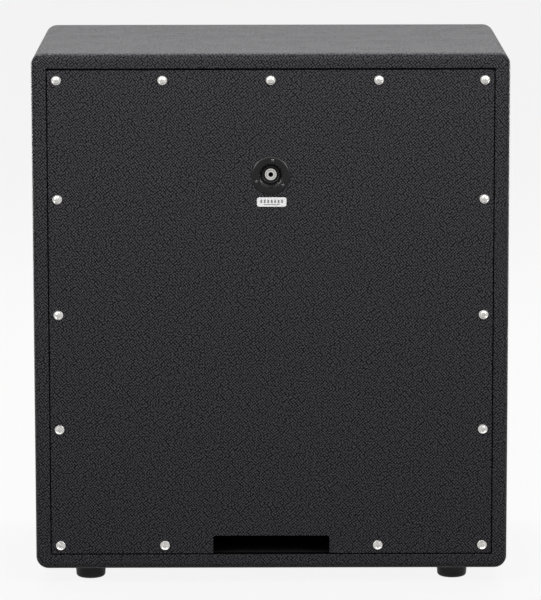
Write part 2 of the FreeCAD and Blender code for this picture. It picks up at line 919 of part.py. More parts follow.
def make_jack_sleeve():
    bore = d.jack_bore / 2
    thread = d.jack_thread / 2
    shoulder = d.jack_shoulder_diameter / 2
    nose = bowl_floor_front + d.jack_nut_flange + d.jack_collar + d.jack_lead_in
    outline = [
        (bore, nose),
        (thread, nose),
        (thread, shoulder_front),
        (shoulder, shoulder_front),
        (shoulder, shoulder_back),
        (bore, shoulder_back),
    ]
    bush = turned("jack_bush", outline, (0.0, panel_y, jack_z), TO_REAR)
    half = d.bracket_width / 2
    back = panel_y + shoulder_back
    ear_top = jack_z - d.jack_bore / 2 - d.bracket_sheet
    ear = box("jack_ear", (-half, back - d.bracket_sheet, bracket_low), (half, back, ear_top))
    strip = box("jack_strip", (-half, panel_y + bracket_back, bracket_low), (half, back, bracket_top))
    keep(fuse("jack_sleeve", bush, ear, strip))


def make_jack_nut():
    thread = d.jack_thread / 2 + d.jack_fit
    outer = d.jack_nut_diameter / 2
    collar = d.jack_collar_diameter / 2
    flange_top = bowl_floor_front + d.jack_nut_flange
    top = flange_top + d.jack_collar
    round_off = d.jack_collar / 2
    outline = [
        (thread, bowl_floor_front),
        (outer, bowl_floor_front),
        (outer, flange_top - round_off),
        (outer - round_off, flange_top),
        (collar, flange_top),
        (collar - round_off, top),
        (thread, top),
    ]
    spot = (0.0, panel_y, jack_z)
    body = turned("jack_nut_body", outline, spot, TO_REAR)
    slot_low = (0.0, -d.jack_slot_width / 2, top - d.jack_slot_depth)
    slot = box("jack_nut_slot", slot_low, (collar + MARGIN, d.jack_slot_width / 2, top + MARGIN))
    count = int(d.jack_slot_count.value)
    turns = [spun(TO_REAR, number * 360 / count) for number in range(count)]
    slots = linked("jack_nut_slot", slot, [spot] * count, turns, with_own_place=True)
    keep(cut("jack_nut", body, fuse("jack_nut_slots", *slots)))


def make_jack_washer():
    bore = d.jack_thread / 2 + d.jack_fit
    outer = d.jack_shoulder_diameter / 2
    outline = [
        (bore, shoulder_front),
        (outer, shoulder_front),
        (outer, bowl_floor_back),
        (bore, bowl_floor_back),
    ]
    keep(turned("jack_washer", outline, (0.0, panel_y, jack_z), TO_REAR))


def make_jack_inside():
    half = d.insulator_width / 2
    low = (-half, panel_y + insulator_back, bracket_top)
    high = (half, panel_y + insulator_back + d.insulator_length, insulator_top)
    keep(box("jack_insulator", low, high))
    near = lug_y - d.lug_width / 2
    far = lug_y + d.lug_width / 2
    tip_low = (-d.lug_grip, near, insulator_top)
    tip = box("tip_lug", tip_low, (lug_end, far, insulator_top + d.lug_sheet))
    sleeve_low = (-lug_end, near, bracket_low - d.lug_sheet)
    sleeve = box("sleeve_lug", sleeve_low, (d.lug_grip + 0, far, bracket_low))
    keep(bundle("jack_lugs", [tip, sleeve]))


def make_tip_contact():
    """A spring leaf that turns on its rolled root and bears on a plug's tip with its nose."""
    half = d.leaf_width / 2
    nose_z = jack_z - d.leaf_nose_below
    bend_z = leaf_z + d.leaf_climb
    tail_z = nose_z - d.leaf_tail_drop
    top = [
        (leaf_y, leaf_z + d.leaf_sheet / 2),
        (leaf_y - d.leaf_shank, bend_z),
        (leaf_y - d.leaf_nose, nose_z),
        (leaf_y - d.leaf_nose - d.leaf_tail, tail_z),
    ]
    under = [(y, z - d.leaf_sheet) for y, z in reversed(top)]
    body = doc.addObject("PartDesign::Body", "leaf_strip")
    sketch = profile(body, "leaf_outline", "YZ_Plane", top + under)
    pad = body.newObject("PartDesign::Pad", "leaf_pad")
    pad.Profile = sketch
    bind(pad, "Length", d.leaf_width)
    pad.Midplane = True
    roll = rod("leaf_root", d.leaf_roll, (-half, leaf_y, leaf_z), d.leaf_width, Vector(1, 0, 0))
    keep(fuse("jack_tip_contact", body, roll))


# Rubber feet

def foot_spots():
    x = half_width - d.foot_side_inset
    y = half_depth - d.foot_end_inset
    return [(side * x, end * y, 0.0) for end in (-1, 1) for side in (-1, 1)]


def make_feet(spots):
    well = d.foot_well_diameter / 2
    bottom = d.foot_bottom_diameter / 2
    top = d.foot_top_diameter / 2
    bore = d.foot_screw_diameter / 2 + d.screw_fit
    corner = (bottom - d.foot_round / 4, d.foot_round / 4)
    outline = [
        (well, 0),
        (bottom - d.foot_round, 0),
        (bottom, d.foot_round + 0, corner),
        (top, d.foot_height + 0),
        (bore, d.foot_height + 0),
        (bore, d.foot_well_depth + 0),
        (well, d.foot_well_depth + 0),
    ]
    foot = turned("foot", outline)
    keep(copies("rubber_feet", foot, spots, [UPRIGHT] * len(spots)))
    washer_low = d.foot_well_depth - d.foot_washer_sheet
    edge = d.foot_washer_diameter / 2
    washer_outline = [
        (bore, washer_low),
        (edge, washer_low),
        (edge, d.foot_well_depth + 0),
        (bore, d.foot_well_depth + 0),
    ]
    washer = turned("foot_washer", washer_outline)
    keep(copies("foot_washers", washer, spots, [UPRIGHT] * len(spots)))
    screw = pan_screw("foot_screw", d.foot_screw_diameter, d.foot_screw_length,
                      d.foot_head_diameter, d.foot_head_height)
    seats = [(x, y, washer_low) for x, y, z in spots]
    keep(copies("foot_screws", screw, seats, [UPSIDE_DOWN] * len(spots)))


def foot_screw_holes(spots):
    radius = d.foot_screw_diameter / 2 + d.screw_fit
    holes = []
    for number, (x, y, z) in enumerate(spots):
        start = (x, y, floor_z - MARGIN)
        length = d.foot_screw_length + MARGIN
        holes.append(rod(f"foot_screw_hole_{number}", radius, start, length, Vector(0, 0, 1)))
    return bundle("foot_screw_holes", holes)


# Baffle

def bolt_spots(y):
    """Bolts on the circle of each speaker, in one plane."""
    radius = speaker_rim - d.bolt_inset
    count = int(d.bolt_count.value)
    spots = []
    for x, z in SPEAKERS.values():
        for number in range(count):
            angle = 2 * math.pi * number / count
            spots.append((x + radius * math.cos(angle), y, z + radius * math.sin(angle)))
    return spots


def bolt_holes(name, diameter):
    radius = diameter / 2 + d.bolt_fit
    start = baffle_front - MARGIN
    length = d.baffle_ply + d.gasket + d.edge_sheet + d.frame_sheet + 2 * MARGIN
    holes = []
    for number, spot in enumerate(bolt_spots(start)):
        holes.append(rod(f"{name}_{number}", radius, spot, length, Vector(0, 1, 0)))
    return bundle(name, holes)


def baffle_screw_spots():
    x = inner_x - d.baffle_cleat / 2
    spots = []
    for side in SIDES.values():
        for row in (-1.5, -0.5, 0.5, 1.5):
            spots.append((side * x, baffle_front, middle_z + row * d.baffle_screw_row))
    for z in (inner_low + d.baffle_cleat / 2, inner_high - d.baffle_cleat / 2):
        for side in SIDES.values():
            spots.append((side * d.baffle_screw_column, baffle_front, z))
    return spots


def make_baffle():
    spots = baffle_screw_spots()
    radius = d.baffle_screw_diameter / 2
    head = d.baffle_head_diameter / 2
    outline = [
        (0, -d.baffle_screw_length),
        (radius, d.screw_tip - d.baffle_screw_length),
        (radius, -d.baffle_head_sink),
        (head, 0),
        (0, 0),
    ]
    body = turned("baffle_screw_body", outline)
    screw = cut("baffle_screw", body, cross_recess("baffle_screw", Size(0, "0")))
    keep(copies("baffle_screws", screw, spots, [TO_FRONT] * len(spots)))
    hole_outline = [
        (0, -d.baffle_screw_length - MARGIN),
        (radius + d.screw_fit, -d.baffle_screw_length - MARGIN),
        (radius + d.screw_fit, -d.baffle_head_sink),
        (head + d.screw_fit, 0),
        (0, 0),
    ]
    hole = turned("baffle_screw_hole", hole_outline)
    screw_holes = copies("baffle_screw_holes", hole, spots, [TO_FRONT] * len(spots))
    low = (d.baffle_fit - inner_x, baffle_front, inner_low + d.baffle_fit)
    high = (inner_x - d.baffle_fit, baffle_rear, inner_high - d.baffle_fit)
    board = box("baffle_blank", low, high)
    cutout = speaker_rim - d.cutout_inset
    mouths = []
    for name, (x, z) in SPEAKERS.items():
        start = (x, baffle_front - MARGIN, z)
        length = d.baffle_ply + 2 * MARGIN
        mouths.append(rod(f"{name}_cutout", cutout, start, length, Vector(0, 1, 0)))
    tee_holes = bolt_holes("tee_holes", d.tee_barrel_diameter)
    keep(cut("baffle_board", board, *mouths, tee_holes, screw_holes))
    far = baffle_rear + d.baffle_cleat
    inside_x = inner_x - d.baffle_cleat
    sides = []
    for name, side in SIDES.items():
        x_low, x_high = across(side, inside_x, inner_x)
        sides.append(box(f"baffle_cleat_{name}", (x_low, baffle_rear, inner_low), (x_high, far, inner_high)))
    keep(cut("baffle_side_cleats", bundle("baffle_side_pair", sides), screw_holes))
    bottom_high = (inside_x, far, inner_low + d.baffle_cleat)
    bottom = box("baffle_cleat_bottom", (-inside_x, baffle_rear, inner_low), bottom_high)
    top_low = (-inside_x, baffle_rear, inner_high - d.baffle_cleat)
    top = box("baffle_cleat_top", top_low, (inside_x, far, inner_high))
    keep(cut("baffle_cross_cleats", bundle("baffle_cross_pair", [bottom, top]), screw_holes))


# Grille

def make_grille():
    edge_x = grille_x - d.grille_cloth
    low_z = grille_low + d.grille_cloth
    high_z = grille_high - d.grille_cloth
    rails = []
    for name, side in SIDES.items():
        x_low, x_high = across(side, edge_x - d.grille_rail, edge_x)
        stile_low = (x_low, grille_frame_y, low_z)
        rails.append(box(f"grille_stile_{name}", stile_low, (x_high, grille_back, high_z)))
    rail_x = edge_x - d.grille_rail
    spans = {"bottom": (low_z, low_z + d.grille_rail), "top": (high_z - d.grille_rail, high_z)}
    for name, (start, end) in spans.items():
        rail_low = (-rail_x, grille_frame_y, start)
        rails.append(box(f"grille_rail_{name}", rail_low, (rail_x, grille_back, end)))
    keep(bundle("grille_frame", rails))
    tray = box("grille_tray", (-grille_x, grille_y, grille_low), (grille_x, grille_back, grille_high))
    hollow_high = (edge_x, grille_back + MARGIN, high_z)
    hollow = box("grille_hollow", (-edge_x, grille_frame_y, low_z), hollow_high)
    keep(cut("grille_cloth", tray, hollow))
    make_piping()
    make_pads(edge_x, low_z, high_z)


def make_piping():
    """A round bead along the edge of the grille's face, with turned corners."""
    radius = d.piping_diameter / 2
    y = grille_y - radius - d.piping_fit
    x = grille_x - radius
    low = grille_low + radius
    high = grille_high - radius
    corner = d.piping_corner
    pieces = []
    for name, z in (("bottom", low), ("top", high)):
        start = (corner - x, y, z)
        pieces.append(rod(f"piping_{name}", radius, start, 2 * (x - corner), Vector(1, 0, 0)))
    for name, side in SIDES.items():
        start = (side * x, y, low + corner)
        pieces.append(rod(f"piping_{name}", radius, start, high - low - 2 * corner, Vector(0, 0, 1)))
    quarter = {(1, 1): 0, (-1, 1): 90, (-1, -1): 180, (1, -1): 270}
    for (side, end), angle in quarter.items():
        bend = doc.addObject("Part::Torus", f"piping_bend_{angle}")
        bind(bend, "Radius1", corner)
        bind(bend, "Radius2", radius)
        bend.Angle3 = 90
        bend.Placement = Placement(Vector(), spun(TO_FRONT, angle))
        z = high - corner if end > 0 else low + corner
        move(bend, (side * (x - corner), y, z))
        pieces.append(bend)
    keep(fuse("grille_piping", *pieces))


def make_pads(edge_x, low_z, high_z):
    """Eight hook pads on the baffle, each against a loop pad on the grille frame."""
    half = d.pad_size / 2
    meet = (grille_back + baffle_front) / 2
    x = edge_x - d.pad_inset - half
    bottom = low_z + d.pad_inset + half
    step = (high_z - low_z - 2 * d.pad_inset - d.pad_size) / 3
    spots = [(side * x, bottom + row * step) for side in SIDES.values() for row in range(4)]
    for name, near, far in (("loop_pads", grille_back, meet), ("hook_pads", meet, baffle_front)):
        pads = []
        for number, (x_middle, z) in enumerate(spots):
            low = (x_middle - half, near, z - half)
            high = (x_middle + half, far, z + half)
            pads.append(box(f"{name}_{number}", low, high))
        keep(bundle(name, pads))


# Side handles

def handle_block(name, side, near, far, grow, corner):
    """A rounded block through the side wall, larger than the cup by a border."""
    x_low, x_high = across(side, near, far)
    half_y = d.handle_cup_length / 2 + grow
    half_z = d.handle_cup_height / 2 + grow
    low = (x_low, -half_y, handle_z - half_z)
    high = (x_high, half_y, handle_z + half_z)
    return rounded_block(name, low, high, corner, Vector(1, 0, 0))


def handle_screw_spots(side):
    y = d.handle_cup_length / 2 + d.handle_screw_out
    up = d.handle_cup_height / 2 + d.handle_screw_out
    x = side * (half_width + d.handle_flange)
    return [(x, along * y, handle_z + rise * up) for along in (-1, 1) for rise in (-1, 1)]


def handle_holes(name, side):
    """The cup's hole in the wall and the holes of its four screws."""
    near = inner_x - MARGIN
    far = half_width + MARGIN
    corner = d.handle_cup_corner + d.handle_fit
    holes = [handle_block(f"{name}_handle_hole", side, near, far, d.handle_fit, corner)]
    radius = d.handle_screw_diameter / 2 + d.screw_fit
    for number, (x, y, z) in enumerate(handle_screw_spots(side)):
        start = (x + side * MARGIN, y, z)
        length = d.handle_screw_length + 2 * MARGIN
        inward = Vector(-side, 0, 0)
        holes.append(rod(f"{name}_handle_screw_hole_{number}", radius, start, length, inward))
    return bundle(f"{name}_handle_holes", holes)


def make_handle(name, side, holes):
    outer = half_width + d.handle_flange
    border_corner = d.handle_border_corner
    flange = handle_block(f"{name}_flange", side, half_width, outer, d.handle_border, border_corner)
    back = half_width - d.handle_cup_depth
    cup = handle_block(f"{name}_cup", side, back, outer, Size(0, "0"), d.handle_cup_corner)
    solid = fuse(f"{name}_handle_solid", flange, cup)
    corner = d.handle_cup_corner - d.handle_wall
    cavity_back = back + d.handle_wall
    cavity = handle_block(f"{name}_cavity", side, cavity_back, outer + MARGIN, -d.handle_wall, corner)
    hollow = cut(f"{name}_handle_hollow", solid, cavity)

    def at_face(bounds):
        return bounds.XLength < EPSILON and abs(abs(bounds.XMin) - outer.value) < EPSILON

    rounded = soften(f"{name}_handle_rounded", hollow, d.handle_lip, at_face)
    screws = bundle(f"{name}_flange_holes", holes.Links[1:])
    keep(cut(f"{name}_handle_dish", rounded, screws))
    grip_length = d.handle_cup_length - 2 * d.handle_wall
    end = d.grip_end_diameter / 2
    middle = (d.grip_diameter / 2, 0)
    outline = [
        (0, -grip_length / 2),
        (end, -grip_length / 2),
        (end, grip_length / 2, middle),
        (0, grip_length / 2),
    ]
    x = side * (outer - d.grip_inset - d.grip_diameter / 2)
    return turned(f"{name}_grip", outline, (x, 0.0, handle_z + d.grip_rise), TO_REAR)


def make_handles(holes):
    grips = [make_handle(name, side, holes[name]) for name, side in SIDES.items()]
    keep(bundle("handle_grips", grips))
    screw = pan_screw("handle_screw", d.handle_screw_diameter, d.handle_screw_length,
                      d.handle_head_diameter, d.handle_head_height)
    spots = []
    turns = []
    for side in SIDES.values():
        found = handle_screw_spots(side)
        spots.extend(found)
        turns.extend([Rotation(Vector(0, 1, 0), 90 * side)] * len(found))
    keep(copies("handle_screws", screw, spots, turns))


# Speakers, with heights measured to the rear from the baffle's back face

rim_front = d.gasket + d.edge_sheet
rim_back = rim_front + d.frame_sheet
frame_back = d.frame_depth + d.frame_sheet
plate_back = frame_back + d.plate_thickness
magnet_back = plate_back + d.magnet_thickness
yoke_back = magnet_back + d.plate_thickness
former_radius = d.former_bore / 2 + d.former_sheet


def speaker_spot(name):
    x, z = SPEAKERS[name]
    return x, baffle_rear, z


def make_frame(name, holes):
    """A pressed basket: rim, coned wall with windows, spider ledge, neck and mounting floor."""
    sheet = d.frame_sheet
    throat = speaker_rim - d.throat_inset
    shoulder = speaker_rim - d.shoulder_inset
    ledge = d.ledge_diameter / 2
    neck = d.neck_diameter / 2
    mouth = d.frame_mouth / 2
    outline = [
        (speaker_rim, rim_front),
        (speaker_rim, rim_back),
        (throat + sheet, rim_back),
        (shoulder + sheet, d.frame_shoulder_depth + sheet / 2),
        (ledge + sheet / 2, d.ledge_depth + sheet),
        (neck + sheet, d.ledge_depth + sheet),
        (neck + sheet, frame_back),
        (mouth, frame_back),
        (mouth, d.frame_depth + 0),
        (neck, d.frame_depth + 0),
        (neck, d.ledge_depth + 0),
        (ledge, d.ledge_depth + 0),
        (shoulder, d.frame_shoulder_depth + 0),
        (throat, rim_front),
    ]
    body = turned(f"{name}_basket", outline, speaker_spot(name), TO_REAR)
    spin = body.Tip
    outer = speaker_rim - d.window_inset
    inner = d.window_inner / 2
    window = [(inner, rim_back), (outer, rim_back), (outer, d.ledge_depth + 0), (inner, d.ledge_depth + 0)]
    sketch = profile(body, f"{name}_window_profile", "XZ_Plane", window)
    groove = body.newObject("PartDesign::Groove", f"{name}_window")
    groove.Profile = sketch
    groove.ReferenceAxis = (sketch, ["V_Axis"])
    groove.Midplane = True
    bind(groove, "Angle", d.window_angle)
    pattern = body.newObject("PartDesign::PolarPattern", f"{name}_windows")
    pattern.Originals = [groove]
    pattern.Axis = (spin.Profile[0], ["V_Axis"])
    pattern.Angle = 360
    bind(pattern, "Occurrences", d.window_count)
    body.Tip = pattern
    keep(cut(f"{name}_speaker_frame", body, holes))


def make_cone(name):
    """A paper cone from its neck on the voice coil to its rim, with a slightly bowed wall."""
    neck = former_radius + d.cone_fit
    rim_height = d.cone_rim_depth
    neck_height = d.cone_neck_depth
    bow_x = (neck + cone_rim) / 2
    bow = (rim_height + neck_height) / 2 + d.cone_sag
    outline = [
        (cone_rim, rim_height + d.cone_sheet),
        (neck, neck_height + d.cone_sheet, (bow_x, bow + d.cone_sheet)),
        (neck, neck_height + 0),
        (cone_rim, rim_height + 0, (bow_x, bow)),
    ]
    keep(turned(f"{name}_cone", outline, speaker_spot(name), TO_REAR))


def cone_front(radius):
    """Depth of the cone's front face at a radius, on the arc through its three points."""
    neck = former_radius + d.cone_fit
    half = (cone_rim - neck) / 2
    share = (cone_rim - radius) / (cone_rim - neck)
    chord = d.cone_rim_depth + share * (d.cone_neck_depth - d.cone_rim_depth)
    away = (cone_rim + neck) / 2 - radius
    return chord + d.cone_sag * (1 - (away * away) / (half * half))


def make_dust_cap(name):
    """A dome glued on the cone's front face round the voice coil."""
    edge = d.cap_diameter / 2
    inside = edge - d.cap_sheet
    rise = d.cap_crown - d.cap_sheet
    outer_x, outer_y = dome_middle(edge, d.cap_crown)
    inner_x_middle, inner_y_middle = dome_middle(inside, rise)
    foot = cone_front(edge) - d.cap_fit
    outline = [
        (0, foot - d.cap_crown),
        (edge, foot, (outer_x, foot - outer_y)),
        (inside, foot),
        (0, foot - rise, (inner_x_middle, foot - inner_y_middle)),
    ]
    keep(turned(f"{name}_dust_cap", outline, speaker_spot(name), TO_REAR))


def make_voice_coil(name):
    bore = d.former_bore / 2
    winding = former_radius + d.winding_sheet
    middle = frame_back + d.plate_thickness / 2
    start = middle - d.winding_length / 2
    end = middle + d.winding_length / 2
    outline = [
        (bore, d.former_front + 0),
        (former_radius, d.former_front + 0),
        (former_radius, start),
        (winding, start),
        (winding, end),
        (bore, end),
    ]
    keep(turned(f"{name}_voice_coil", outline, speaker_spot(name), TO_REAR))


def rolled_sheet(start, end, rolls, height, sheet):
    """Outline of a thin sheet between two (radius, height) ends, rolled up and down on the way."""
    count = 2 * int(rolls.value)
    step_x = (end[0] - start[0]) / count
    step_y = (end[1] - start[1]) / count
    near = [start]
    for number in range(count):
        lift = height if number % 2 == 0 else -height
        corner_x = start[0] + (number + 1) * step_x
        corner_y = start[1] + (number + 1) * step_y
        through = (corner_x - step_x / 2, corner_y - step_y / 2 - lift)
        near.append((corner_x, corner_y, through))
    far = [(near[-1][0], near[-1][1] + sheet)]
    for number in range(count, 0, -1):
        through_x, through_y = near[number][2]
        before_x, before_y = near[number - 1][:2]
        far.append((before_x, before_y + sheet, (through_x, through_y + sheet)))
    return near, far


def make_cone_edge(name, holes):
    """The rolled edge that carries the cone: a flat land under the gasket, then two rolls."""
    land = speaker_rim - d.edge_land_width
    inner = cone_rim + d.flex_gap
    start = (land, d.gasket + 0)
    end = (inner, d.cone_rim_depth + 0)
    near, far = rolled_sheet(start, end, d.edge_rolls, d.edge_roll_height, d.edge_sheet)
    outer = [(speaker_rim, d.gasket + d.edge_sheet), (speaker_rim, d.gasket + 0)]
    body = turned(f"{name}_edge_body", outer + near + far, speaker_spot(name), TO_REAR)
    keep(cut(f"{name}_cone_edge", body, holes))


def make_spider(name):
    """A rolled, cupped disc that centres the voice coil: a land on the frame's ledge, a collar inside."""
    outer = d.ledge_diameter / 2 - d.flex_gap
    land = d.spider_land / 2
    inner = former_radius + d.flex_gap
    collar = inner + d.spider_collar
    height = d.ledge_depth - d.spider_sheet
    cupped = height + d.spider_cup
    start = (land, height)
    end = (collar, cupped)
    near, far = rolled_sheet(start, end, d.spider_rolls, d.spider_roll_height, d.spider_sheet)
    rim = [(outer, height + d.spider_sheet), (outer, height)]
    sleeve = [(inner, cupped), (inner, cupped + d.spider_sheet)]
    keep(turned(f"{name}_spider", rim + near + sleeve + far, speaker_spot(name), TO_REAR))


def plain_ring(name, bore, outer, start, end):
    return turned(name, [(bore, start), (outer, start), (outer, end), (bore, end)])


def make_shared_pieces(holes):
    """Pieces that are alike on both speakers and don't move."""
    spots = [speaker_spot(name) for name in SPEAKERS]
    turns = [TO_REAR] * len(spots)
    gasket_bore = speaker_rim - d.gasket_width
    gasket = plain_ring("gasket_ring", gasket_bore, speaker_rim, 0.0, d.gasket + 0)
    keep(cut("speaker_gaskets", copies("gasket_pair", gasket, spots, turns), holes))
    plate_rim = d.plate_diameter / 2
    plate = plain_ring("front_plate", d.gap_outer / 2, plate_rim, frame_back, plate_back)
    keep(copies("speaker_front_plates", plate, spots, turns))
    magnet_bore = d.magnet_bore / 2
    magnet_rim = d.magnet_diameter / 2
    magnet = plain_ring("magnet_ring", magnet_bore, magnet_rim, plate_back, magnet_back)
    keep(copies("speaker_magnets", magnet, spots, turns))
    pole = d.pole_diameter / 2
    yoke_outline = [
        (0, frame_back),
        (pole, frame_back),
        (pole, magnet_back),
        (plate_rim, magnet_back),
        (plate_rim, yoke_back),
        (0, yoke_back),
    ]
    keep(copies("speaker_yokes", turned("yoke", yoke_outline), spots, turns))


def make_bolts():
    rear = baffle_rear + rim_back
    spots = bolt_spots(rear)
    bolt = pan_screw("bolt", d.bolt_diameter, d.bolt_length, d.bolt_head_diameter, d.bolt_head_height)
    keep(copies("speaker_bolts", bolt, spots, [TO_REAR] * len(spots)))
    bore = d.bolt_diameter / 2 + d.screw_fit
    flange = d.tee_flange_diameter / 2
    barrel = d.tee_barrel_diameter / 2
    outline = [
        (bore, -d.tee_barrel_length),
        (barrel, -d.tee_barrel_length),
        (barrel, 0),
        (flange, 0),
        (flange, d.tee_flange + 0),
        (bore, d.tee_flange + 0),
    ]
    nut = turned("tee_nut", outline)
    nut_spots = bolt_spots(baffle_front)
    keep(copies("speaker_tee_nuts", nut, nut_spots, [TO_FRONT] * len(nut_spots)))


# Terminals and leads

strip_near = d.neck_diameter / 2 + d.frame_sheet + d.strip_fit
strip_far = strip_near + d.strip_sheet
blade_far = strip_far + d.blade_length
push_on_start = blade_far - d.push_on_bite
push_on_end = push_on_start + d.push_on_length
terminal_y = baffle_rear + d.strip_start + d.strip_length / 2
TERMINAL_WAY = {"upper": -1, "lower": 1}
TERMINAL_SIDE = {"red": 1, "black": -1}


def radial_box(name, speaker, x_span, y_span, near, far):
    """A block set off from a speaker's axis, below the upper one and above the lower one."""
    x, z = SPEAKERS[speaker]
    low_z, high_z = across(TERMINAL_WAY[speaker], near, far)
    return box(name, (x + x_span[0], y_span[0], z + low_z), (x + x_span[1], y_span[1], z + high_z))


def terminal_x(speaker, colour):
    """Offset of a lead's blade from the speaker's axis."""
    return d.blade_apart / 2 * (TERMINAL_SIDE[colour] * -TERMINAL_WAY[speaker])


def centred(middle, width):
    return middle - width / 2, middle + width / 2


def make_terminals():
    strips = []
    blades = []
    sleeves = []
    strip_y = (baffle_rear + d.strip_start, baffle_rear + d.strip_start + d.strip_length)
    for speaker in SPEAKERS:
        strip_x = centred(Size(0, "0"), d.strip_width)
        strips.append(radial_box(f"{speaker}_strip", speaker, strip_x, strip_y, strip_near, strip_far))
        for colour in TERMINAL_SIDE:
            name = f"{speaker}_{colour}"
            middle = terminal_x(speaker, colour)
            blade_x = centred(middle, d.blade_width)
            blade_y = centred(terminal_y, d.blade_sheet)
            blade = radial_box(f"{name}_blade", speaker, blade_x, blade_y, strip_far, blade_far)
            blades.append(blade)
            sleeve_x = centred(middle, d.push_on_width)
            sleeve_y = centred(terminal_y, d.push_on_height)
            sleeve = radial_box(f"{name}_sleeve", speaker, sleeve_x, sleeve_y, push_on_start, push_on_end)
            sleeves.append(cut(f"{name}_push_on", sleeve, blade))
    keep(bundle("terminal_strips", strips))
    keep(bundle("terminal_blades", blades))
    keep(bundle("push_on_terminals", sleeves))


def lead_shape(points):
    """A round lead along straight runs joined by arcs as large as the runs allow."""
    radius = d.lead_diameter.value / 2
    arc_share = 0.45
    volume_tolerance = 0.02
    corners = [Vector(*(float(size) for size in point)) for point in points]
    edges = []
    length = 0.0
    last = corners[0]
    for before, corner, after in zip(corners, corners[1:], corners[2:]):
        inward = (before - corner).normalize()
        outward = (after - corner).normalize()
        reach = arc_share * min((before - corner).Length, (after - corner).Length)
        start = corner + inward * reach
        end = corner + outward * reach
        turn = math.pi - inward.getAngle(outward)
        bend = reach / math.tan(turn / 2)
        middle_way = (inward + outward).normalize()
        middle = corner + middle_way * (math.hypot(reach, bend) - bend)
        edges.append(Part.LineSegment(last, start).toShape())
        edges.append(Part.Arc(start, middle, end).toShape())
        length += (start - last).Length + bend * turn
        last = end
    edges.append(Part.LineSegment(last, corners[-1]).toShape())
    length += (corners[-1] - last).Length
    path = Part.Wire(edges)
    circle = Part.Wire([Part.Circle(corners[0], corners[1] - corners[0], radius).toShape()])
    shape = path.makePipeShell([circle], True, False)
    expected = math.pi * radius * radius * length
    if abs(shape.Volume - expected) > volume_tolerance * expected:
        raise RuntimeError("a lead's volume is not its section times its length")
    return shape


def lead_ends(speaker, colour, share):
    """X, Y and Z where a lead meets a push-on terminal, beside its fellow."""
    x, z = SPEAKERS[speaker]
    way = TERMINAL_WAY[speaker]
    return x + terminal_x(speaker, colour) + share * d.lead_apart / 2, terminal_y, z + way * push_on_end


def make_leads():
    """Leads from the jack's lugs to the upper speaker and on to the lower one."""
    jack_routes = {
        "red": [(18, 0, 0), (34, -8, -16), (40, -28, -44), (34, -58, -76), (20, -94, -104),
                (-2, -134, -124), (-30, -174, -136), (-56, -208, -146)],
        "black": [(-18, 0, 0), (-36, -8, -18), (-46, -26, -46), (-50, -56, -78), (-54, -92, -108),
                  (-62, -132, -132), (-74, -170, -146), (-88, -206, -156)],
    }
    link_routes = {
        "red": [(-58, 3, 14), (-18, 7, -2), (26, 7, -4), (62, 3, -18)],
        "black": [(-74, -5, 6), (-34, -11, -14), (14, -11, -20), (60, -7, -16)],
    }
    last_straight = 24
    first_straight = 6
    for colour, lug_side, lug_z in (("red", 1, tip_lug_z), ("black", -1, sleeve_lug_z)):
        first = (lug_side * lug_end, lug_y, lug_z)
        end = lead_ends("upper", colour, -1)
        start_x = first[0] - lug_side * first_straight
        route = [(start_x + x, lug_y + y, lug_z + z) for x, y, z in jack_routes[colour]]
        below = (end[0], end[1], end[2] - last_straight)
        from_jack = lead_shape([first] + route + [below, end])
        top = lead_ends("upper", colour, 1)
        bottom = lead_ends("lower", colour, 1)
        route = [(x, terminal_y + y, middle_z + z) for x, y, z in link_routes[colour]]
        leave = (top[0], top[1], top[2] - last_straight)
        arrive = (bottom[0], bottom[1], bottom[2] + last_straight)
        between = lead_shape([top, leave] + route + [arrive, bottom])
        lead = doc.addObject("Part::Feature", f"{colour}_leads")
        lead.Shape = Part.makeCompound([from_jack, between])
        lead.Placement = Placement()
        keep(lead)


# The whole cabinet

def make_cabinet():
    feet = foot_spots()
    foot_holes = foot_screw_holes(feet)
    handle_hole_groups = {name: handle_holes(name, side) for name, side in SIDES.items()}
    ply_block = make_ply_block()
    make_cross_board("top_panel", ply_block, (inner_high, roof_z + MARGIN), None)
    make_cross_board("bottom_panel", ply_block, (floor_z - MARGIN, inner_low), foot_holes)
    for name, side in SIDES.items():
        make_side_board(f"{name}_side_panel", side, ply_block, handle_hole_groups[name])
    make_shell_covering(ply_block, [foot_holes, *handle_hole_groups.values()])
    back_spots = back_screw_spots()
    back_holes = back_screw_holes(back_spots)
    make_rear_cleats(back_holes)
    dish_spots = dish_screw_spots()
    dish_cuts = dish_holes(dish_spots)
    make_back_panel([make_port_block(), back_holes, *dish_cuts])
    make_back_screws(back_spots)
    make_label()
    make_jack_dish(dish_cuts[1])
    make_dish_screws(dish_spots)
    make_jack_sleeve()
    make_jack_nut()
    make_jack_washer()
    make_jack_inside()
    make_tip_contact()
    make_feet(feet)
    make_baffle()
    make_grille()
    make_handles(handle_hole_groups)
    frame_holes = bolt_holes("frame_holes", d.bolt_diameter)
    for name in SPEAKERS:
        make_frame(name, frame_holes)
        make_cone(name)
        make_dust_cap(name)
        make_voice_coil(name)
        make_cone_edge(name, frame_holes)
        make_spider(name)
    make_shared_pieces(frame_holes)
    make_bolts()
    make_terminals()
    make_leads()


def write_parts():
    doc.recompute()
    for thing in doc.Objects:
        if "Invalid" in thing.State or "Error" in thing.State:
            raise RuntimeError(f"{thing.Name} did not build: {thing.State}")
    for node in nodes:
        shape = node.Shape
        if shape.isNull() or not shape.isValid() or not shape.Solids:
            raise RuntimeError(f"{node.Name} has no valid solid")
    os.makedirs("parts", exist_ok=True)
    for node in nodes:
        node.Shape.exportStep(f"parts/{node.Label}.step")
        print(node.Label, len(node.Shape.Solids), round(node.Shape.Volume))


make_cabinet()
write_parts()
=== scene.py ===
import json
import math

import bmesh
import bpy
from mathutils import Matrix, Vector


